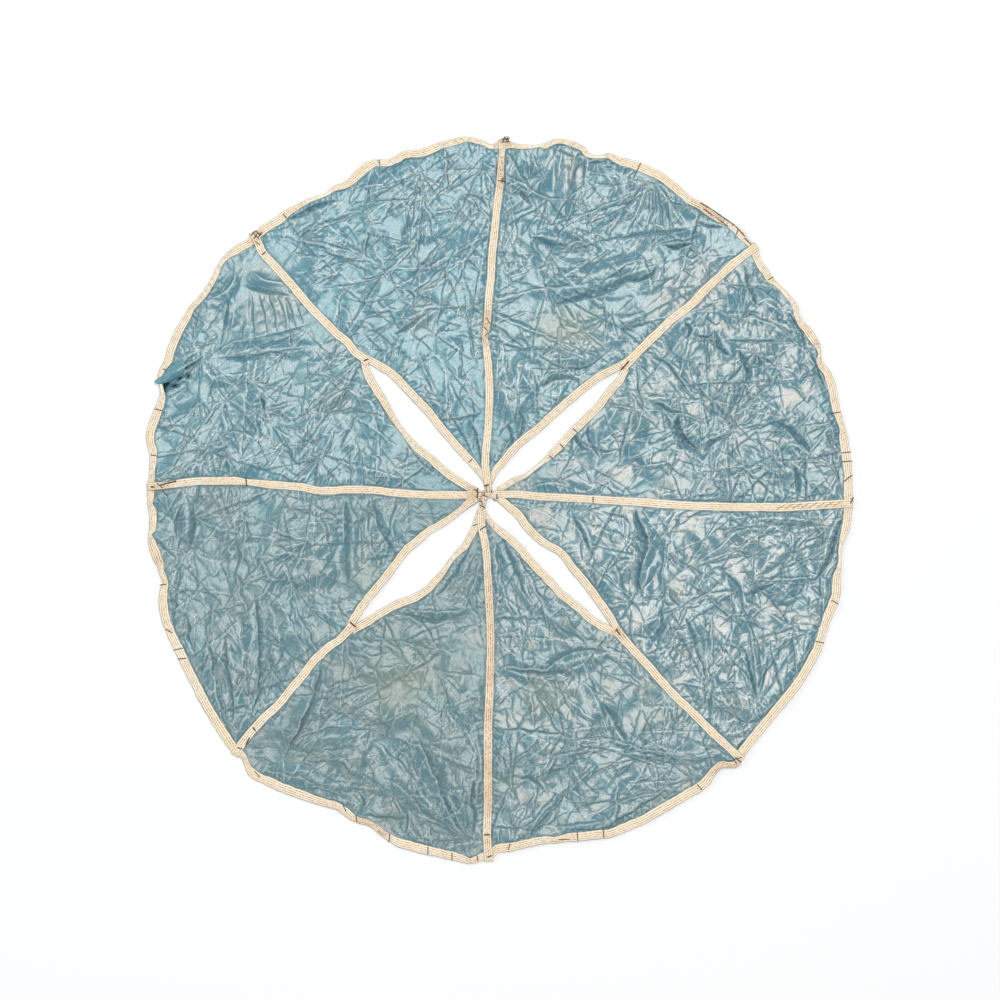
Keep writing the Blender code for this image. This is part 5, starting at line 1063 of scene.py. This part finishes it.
def add_marks(height, pile):
    """The dark sewn bars and thread ends, as short low beads of thread on the tapes."""
    points, faces, start = [], [], 0
    turn = math.pi * np.arange(6) / 5
    ends = np.array([(0, 1, 2, 5), (2, 3, 4, 5)])
    for mark in MARKS:
        ax, ay = place(mark.across_0, mark.down_0)
        bx, by = place(mark.across_1, mark.down_1)
        length = math.hypot(bx - ax, by - ay)
        dx, dy = (bx - ax) / length, (by - ay) / length
        count = max(3, int(length / 0.0012) + 1)
        step = np.arange(count)[:, None]
        cx, cy = ax + step / (count - 1) * (bx - ax), ay + step / (count - 1) * (by - ay)
        half = np.where((step == 0) | (step == count - 1), 0.55, 1 + 0.15 * np.sin(2.6 * step))
        half = half * 0.5 * mark.thick * GRID
        top = sampled(height, cx, cy) + sampled(pile, cx, cy) + SEWN_GAP + TAPE + 0.00005
        bead = (cx - dy * half * np.cos(turn), cy + dx * half * np.cos(turn), top + 0.0006 * np.sin(turn))
        points.append(np.stack(bead, axis=-1).reshape(-1, 3))
        last = 6 * (count - 1)
        sides = np.roll(ring_sides(count, 6), 1, axis=1)
        faces.append(start + np.vstack([sides, ends, last + ends[:, ::-1]]))
        start += 6 * count
    return new_mesh("thread_bars", np.vstack(points), np.vstack(faces))


class Nodes:
    """A short way to lay out a material's nodes."""

    def __init__(self, name):
        self.material = bpy.data.materials.new(name)
        self.material.use_nodes = True
        self.tree = self.material.node_tree
        self.tree.nodes.clear()
        self.where = self.add("ShaderNodeTexCoord").outputs["Object"]

    def add(self, kind, inputs=(), **settings):
        """A node with its settings and its inputs, which are values or other sockets."""
        node = self.tree.nodes.new(kind)
        for key, value in settings.items():
            setattr(node, key, value)
        for key, value in dict(inputs).items():
            if isinstance(value, bpy.types.NodeSocket):
                self.tree.links.new(value, node.inputs[key])
            else:
                node.inputs[key].default_value = value
        return node

    def value(self, name):
        """The number stored on the mesh under a name."""
        return self.add("ShaderNodeAttribute", attribute_name=name, attribute_type="GEOMETRY").outputs["Fac"]

    def math(self, operation, *inputs, clamp=False):
        """One arithmetic step."""
        return self.add("ShaderNodeMath", enumerate(inputs), operation=operation, use_clamp=clamp).outputs[0]

    def chain(self, operation, first, *others):
        """Some numbers taken one after another into a product or a maximum."""
        for other in others:
            first = self.math(operation, first, other)
        return first

    def times(self, *inputs):
        """The product of some numbers."""
        return self.chain("MULTIPLY", *inputs)

    def line(self, value, slope, level):
        """A number times a slope, plus a level, kept between 0 and 1."""
        return self.math("MULTIPLY_ADD", value, slope, level, clamp=True)

    def close(self, distance, reach, soft):
        """1 where a distance is small and 0 beyond the reach, softly."""
        return self.line(distance, -1 / soft, reach / soft)

    def noise(self, scale, detail, roughness=0.5):
        """Noise that is fixed to the piece."""
        return self.add("ShaderNodeTexNoise", {"Vector": self.where, "Scale": scale, "Detail": detail,
                                               "Roughness": roughness}).outputs["Fac"]

    def wave(self, scale, distortion):
        """Fine bands that are fixed to the piece."""
        return self.add("ShaderNodeTexWave", {"Vector": self.where, "Scale": scale,
                                              "Distortion": distortion}).outputs["Fac"]

    def ramp(self, value, low, high):
        """Numbers passed through a ramp between two stops, each a place and a level."""
        node = self.add("ShaderNodeValToRGB", {"Fac": value})
        for element, (where, level) in zip(node.color_ramp.elements, (low, high)):
            element.position = where
            element.color = (level, level, level, 1)
        return node.outputs["Color"]

    def mix(self, factor, first, second):
        """A colour between two."""
        return self.add("ShaderNodeMix", {0: factor, 6: first, 7: second}, data_type="RGBA").outputs[2]

    def tinted(self, base, *tints):
        """A colour under tints laid on in turn, each with a strength, its share and a colour."""
        for strength, share, colour in tints:
            base = self.mix(self.times(strength, share), base, linear(*colour))
        return base

    def bumped(self, *bumps):
        """The normal under bumps laid on in turn, each with a height, a strength and a distance."""
        normal = None
        for height, strength, distance in bumps:
            inputs = {"Strength": strength, "Distance": distance, "Height": height}
            if normal:
                inputs["Normal"] = normal
            normal = self.add("ShaderNodeBump", inputs).outputs["Normal"]
        return normal

    def surface(self, inputs):
        """The finished material."""
        shader = self.add("ShaderNodeBsdfPrincipled", inputs)
        self.add("ShaderNodeOutputMaterial", {"Surface": shader.outputs[0]})
        return self.material


def linear(red, green, blue):
    """A colour from its screen values."""
    levels = [value / 255 for value in (red, green, blue)]
    return tuple(v / 12.92 if v <= 0.04045 else ((v + 0.055) / 1.055) ** 2.4 for v in levels) + (1.0,)


def cloth_material():
    """Thin shiny blue-green nylon, with painted shade on steep slopes, in valleys and in folds (partly for
    doubled cloth) and painted highlights on ridges, so it is paler where it lies flat.
    """
    nodes = Nodes("sheer_nylon")
    deep = nodes.value("deep")
    cloudy, fine, speckle = nodes.noise(9, 4, 0.55), nodes.noise(70, 3, 0.6), nodes.noise(330, 2, 0.7)
    spots = nodes.ramp(speckle, (0.36, 0.0), (0.64, 1.0))
    flat = nodes.mix(spots, linear(82, 148, 166), linear(124, 180, 190))
    beige = nodes.mix(spots, linear(164, 162, 154), linear(208, 202, 190))
    base = nodes.mix(nodes.times(nodes.value("warm"), 0.80), flat, beige)
    base = nodes.tinted(base,
                        # Painted shade on steep slopes and in narrow valleys, and a painted highlight on
                        # narrow ridges.
                        (nodes.value("steep"), 1, (70, 130, 150)),
                        (nodes.value("ridge"), 0.65, (194, 214, 214)),
                        (nodes.value("valley"), 0.75, (54, 98, 112)),
                        # Painted shade in the folds, partly standing for doubled cloth, turning navy where it
                        # is strongest.
                        (deep, 0.85, (58, 112, 132)),
                        (nodes.ramp(deep, (0.60, 0.0), (0.95, 0.60)), 1, (26, 66, 86)))
    patchy = nodes.ramp(nodes.noise(70, 2), (0.44, 0.10), (0.60, 1.0))
    # Thin painted highlight lines along ridges and thin painted shade lines along valleys.
    for name, tint, reach in (("ridge_off", (214, 232, 232), 0.00080),
                              ("valley_off", (36, 82, 100), 0.00090)):
        hairline = nodes.close(nodes.math("ABSOLUTE", nodes.value(name)), reach, 0.00070)
        base = nodes.tinted(base, (nodes.times(hairline, patchy), 0.68, tint))
    base = nodes.tinted(base,
                        (cloudy, 0.20, (142, 162, 160)),
                        # A grey tint, strongest in the gores at the lower left.
                        (nodes.value("greying"), 0.35, (112, 126, 122)),
                        (nodes.value("green"), 0.60, (136, 146, 118)),
                        (nodes.value("brown"), 0.60, (166, 154, 136)),
                        (fine, 0.10, (190, 205, 205)),
                        # Painted shadow, near black, below the flap over the left rim and in the darkest
                        # folds.
                        (nodes.line(deep, 2.5, -2.9), 1, (18, 50, 66)))
    normal = nodes.bumped((fine, 0.30, 0.0004), (speckle, 0.35, 0.0001), (nodes.noise(900, 1), 0.10, 0.0002))
    shine = nodes.times(nodes.value("shine"), nodes.line(deep, -0.75, 1.0))
    return nodes.surface({"Base Color": base, "Roughness": 0.24, "IOR": 1.5, "Normal": normal,
                          "Specular IOR Level": shine})


def tape_material():
    """Cream cotton tape with brownish stitch rows, painted shade along its edges and a dark edge outline that
    is partly fraying and partly painted shade.
    """
    nodes = Nodes("sewn_tape")
    along, across, half, worn = (nodes.value(name) for name in ("along", "across", "half", "worn"))
    bands, stitches = [], []
    for level, phase in ((-0.46, 0.0), (0.04, 2.2), (0.50, 4.1)):
        off = nodes.math("ABSOLUTE", nodes.math("SUBTRACT", across, nodes.times(half, level)))
        dash = nodes.math("SINE", nodes.math("MULTIPLY_ADD", along, TURN / 0.0047, phase))
        dash = nodes.math("MULTIPLY_ADD", dash, 0.35, 0.65)
        bands.append(nodes.close(off, 0.00105, 0.0006))
        stitches.append(nodes.times(dash, nodes.close(off, 0.00090, 0.0006)))
    band, stitch = nodes.chain("MAXIMUM", *bands), nodes.chain("MAXIMUM", *stitches)
    uneven = nodes.ramp(nodes.noise(260, 2, 0.7), (0.42, 0.0), (0.60, 1.0))
    stitch = nodes.times(stitch, uneven, nodes.line(half, 1 / 0.002, -1.0))
    blotch = nodes.ramp(nodes.noise(26, 4, 0.6), (0.35, 0.0), (0.75, 1.0))
    inner = nodes.math("SUBTRACT", half, nodes.math("ABSOLUTE", across))
    outline_gaps = nodes.ramp(nodes.noise(90, 3), (0.40, 0.25), (0.62, 1.0))
    # A dark outline at the tape's edges, partly browned fraying and partly painted shade, broken up by noise
    # and stronger where worn.
    frayed_and_shaded_edge = nodes.times(nodes.close(inner, 0.0008, 0.0005), outline_gaps,
                      nodes.math("MULTIPLY_ADD", worn, 0.25, 0.75))
    base = nodes.tinted(nodes.mix(blotch, linear(255, 253, 236), linear(255, 243, 210)),
                        # Painted shade along the edges of the tape.
                        (nodes.close(inner, 0.0013, 0.0013), 0.5, (226, 176, 134)),
                        (nodes.times(band, nodes.line(half, 1 / 0.0035, -0.75)), 0.60, (230, 178, 130)),
                        (frayed_and_shaded_edge, 1, (112, 74, 54)),
                        (worn, nodes.math("MULTIPLY_ADD", blotch, 0.4, 0.1), (214, 172, 134)),
                        (stitch, nodes.math("MULTIPLY_ADD", worn, 0.5, 0.75), (112, 68, 44)))
    weave = nodes.bumped((nodes.wave(500, 1.5), 0.4, 0.0004))
    dent = nodes.add("ShaderNodeBump", {"Strength": 0.8, "Distance": 0.0006, "Height": stitch,
                                        "Normal": weave}, invert=True).outputs["Normal"]
    return nodes.surface({"Base Color": base, "Roughness": 0.75, "Normal": dent, "Sheen Weight": 0.2})


def thread_material():
    """Dark brown sewing thread."""
    nodes = Nodes("dark_thread")
    twist = nodes.wave(420, 3.0)
    return nodes.surface({"Base Color": nodes.mix(twist, linear(70, 55, 45), linear(120, 98, 78)),
                          "Roughness": 0.7, "Normal": nodes.bumped((twist, 0.7, 0.0004))})


def floor_material():
    """A pale matt floor."""
    nodes = Nodes("pale_floor")
    base = nodes.mix(nodes.noise(2, 2), linear(250, 253, 255), linear(248, 251, 254))
    return nodes.surface({"Base Color": base, "Roughness": 0.9})


def stain_values(x, y, tint):
    """How strongly the stains of one tint mark each place."""
    total = np.zeros(x.shape)
    for number, stain in enumerate(STAINS):
        if stain.tint != tint:
            continue
        cx, cy = place(stain.across, stain.down)
        turn = math.radians(stain.turn)
        dx = x - cx + 0.004 * warp(x, y, number + 3, 0.022)
        dy = y - cy + 0.004 * warp(x, y, number + 8, 0.022)
        u = (dx * math.cos(turn) + dy * math.sin(turn)) / (stain.wide * GRID)
        v = (dy * math.cos(turn) - dx * math.sin(turn)) / (stain.tall * GRID)
        patchy = 0.75 + 0.25 * warp(x, y, number + 20, 0.014)
        total = np.maximum(total, stain.strength * patchy * smoothstep(1.25, 0.35, np.hypot(u, v)))
    return total


def worn_values(x, y):
    """How browned and frayed the tapes are at each place."""
    total = np.zeros(x.shape)
    for across, down, wide, tall in WORN:
        cx, cy = place(across, down)
        off = np.hypot((x - cx) / (wide * GRID), (y - cy) / (tall * GRID))
        total = np.maximum(total, smoothstep(1.2, 0.6, off))
    return total


def gore_values(gore, x, y):
    """The numbers by which one gore's stains, warmth, greying and shine differ from place to place."""
    from_hub = smoothstep(0.02, 0.19, np.hypot(x - HUB[0], y - HUB[1]))
    warm = WARM[gore] * (1 + 0.6 * warp(x, y, 80 + gore, 0.06)) + stain_values(x, y, "beige")
    return {"shine": SHINE[gore] * (0.35 + 0.65 * from_hub),
            "warm": np.clip(warm, 0, 1.2),
            "greying": GREYING[gore] * (1 + 0.25 * warp(x, y, 60 + gore, 0.10)),
            "green": stain_values(x, y, "green"),
            "brown": stain_values(x, y, "brown")}


def relief_fields(height):
    """Where the cloth is steep, and where it has narrow valleys and ridges, as masks for painted shade and
    painted highlights.
    """
    slope = np.hypot(*np.gradient(height, CELL))
    hollow = blurred(height, 0.0018) - height
    return {"steep": smoothstep(0.05, 0.26, slope),
            "valley": smoothstep(0.00006, 0.00020, hollow),
            "ridge": smoothstep(0.00006, 0.00020, -hollow)}


def add_tapes(lines, height, pile, material):
    """Every sewn tape, level by level, with each level on the pile of those below."""
    tapes = {}
    for level in (0, 1, 2):
        laid = {name: line for name, (line, at) in lines.items() if at == level}
        for name, line in laid.items():
            tapes[name] = add_tape("sewn_" + name, line, height, pile)
        for line in laid.values():
            pile_on(pile, line)
    for name, piece in tapes.items():
        dress(piece, material, name)
    return tapes


def add_flap(height, pile, material):
    """The fold of cloth over the left rim, which sinks into the cloth at its right end."""
    sunk = 0.0038 * smoothstep(place(174, 0)[0], place(192, 0)[0], Field.x)
    flap = add_tape("cloth_flap", tape_line(FLAP), height, pile + CLOTH - sunk)
    spread = np.empty(len(flap.data.vertices), dtype=np.float32)
    flap.data.attributes["across"].data.foreach_get("value", spread)
    # Painted highlight and shade lines along the flap, and painted shade over it that is stronger on its
    # lower side.
    add_values(flap, {"ridge_off": spread + 0.0020, "valley_off": spread - 0.0040, "shine": 0.35,
                      "steep": 0.45 + 0.3 * smoothstep(0.003, -0.003, spread)})
    dress(flap, material)
    return flap


def build():
    """Makes every piece of the canopy."""
    lines = tape_lines()
    height, fold_shade_field, edges = cloth_field(lines)
    cloth, tape, thread = cloth_material(), tape_material(), thread_material()
    pile = Field.blank()
    tapes = add_tapes(lines, height, pile, tape)
    flap = add_flap(height, pile, cloth)
    dress(add_tape("cut_end", tape_line(STUB), height, pile + SEWN_GAP), tape)
    dress(add_marks(height, pile - TAPE - SEWN_GAP), thread)
    fields = {"deep": fold_shade_field, "ridge_off": edges["ridge"], "valley_off": edges["valley"],
              **relief_fields(height)}
    for gore in range(1, 9):
        piece, outline, x, y = add_gore(gore, lines, height)
        add_values(piece, {name: sampled(field, x, y) for name, field in fields.items()})
        add_values(piece, gore_values(gore, x, y))
        dress(piece, cloth, f"gore_{gore}")


def add_stage():
    """The floor, the camera straight above, the sky and the lights, which all point at the middle."""
    corners = [(FLOOR_REACH * x, FLOOR_REACH * y, 0) for x, y in ((-1, -1), (1, -1), (1, 1), (-1, 1))]
    floor = new_mesh("floor", corners, [(0, 1, 2, 3)])
    floor.data.materials.append(floor_material())
    scene = bpy.context.scene
    scene.camera = linked("camera", bpy.data.cameras.new("camera"))
    scene.camera.data.lens = LENS_MM
    scene.camera.data.sensor_width = SENSOR_MM
    scene.camera.location = (*SHIFT, CAMERA_HEIGHT)
    scene.view_settings.view_transform = "Standard"
    scene.world = bpy.data.worlds.new("studio")
    scene.world.use_nodes = True
    sky = scene.world.node_tree.nodes["Background"]
    sky.inputs["Color"].default_value = SKY_COLOUR
    sky.inputs["Strength"].default_value = SKY_STRENGTH
    for row in LIGHTS:
        light = bpy.data.lights.new(row.name, "AREA")
        light.size, light.energy, light.color = row.size, row.power, row.colour
        lamp = linked(row.name, light)
        lamp.location = row.spot
        lamp.rotation_euler = (-Vector(row.spot)).to_track_quat("-Z", "Y").to_euler()


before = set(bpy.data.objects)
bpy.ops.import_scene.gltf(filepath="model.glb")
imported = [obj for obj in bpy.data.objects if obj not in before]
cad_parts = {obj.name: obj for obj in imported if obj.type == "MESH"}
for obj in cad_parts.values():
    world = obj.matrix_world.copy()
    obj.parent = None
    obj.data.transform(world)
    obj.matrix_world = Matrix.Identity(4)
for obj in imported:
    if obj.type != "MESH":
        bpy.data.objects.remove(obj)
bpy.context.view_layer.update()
HUB = np.array(place(*HUB_SQUARE))
build()
add_stage()
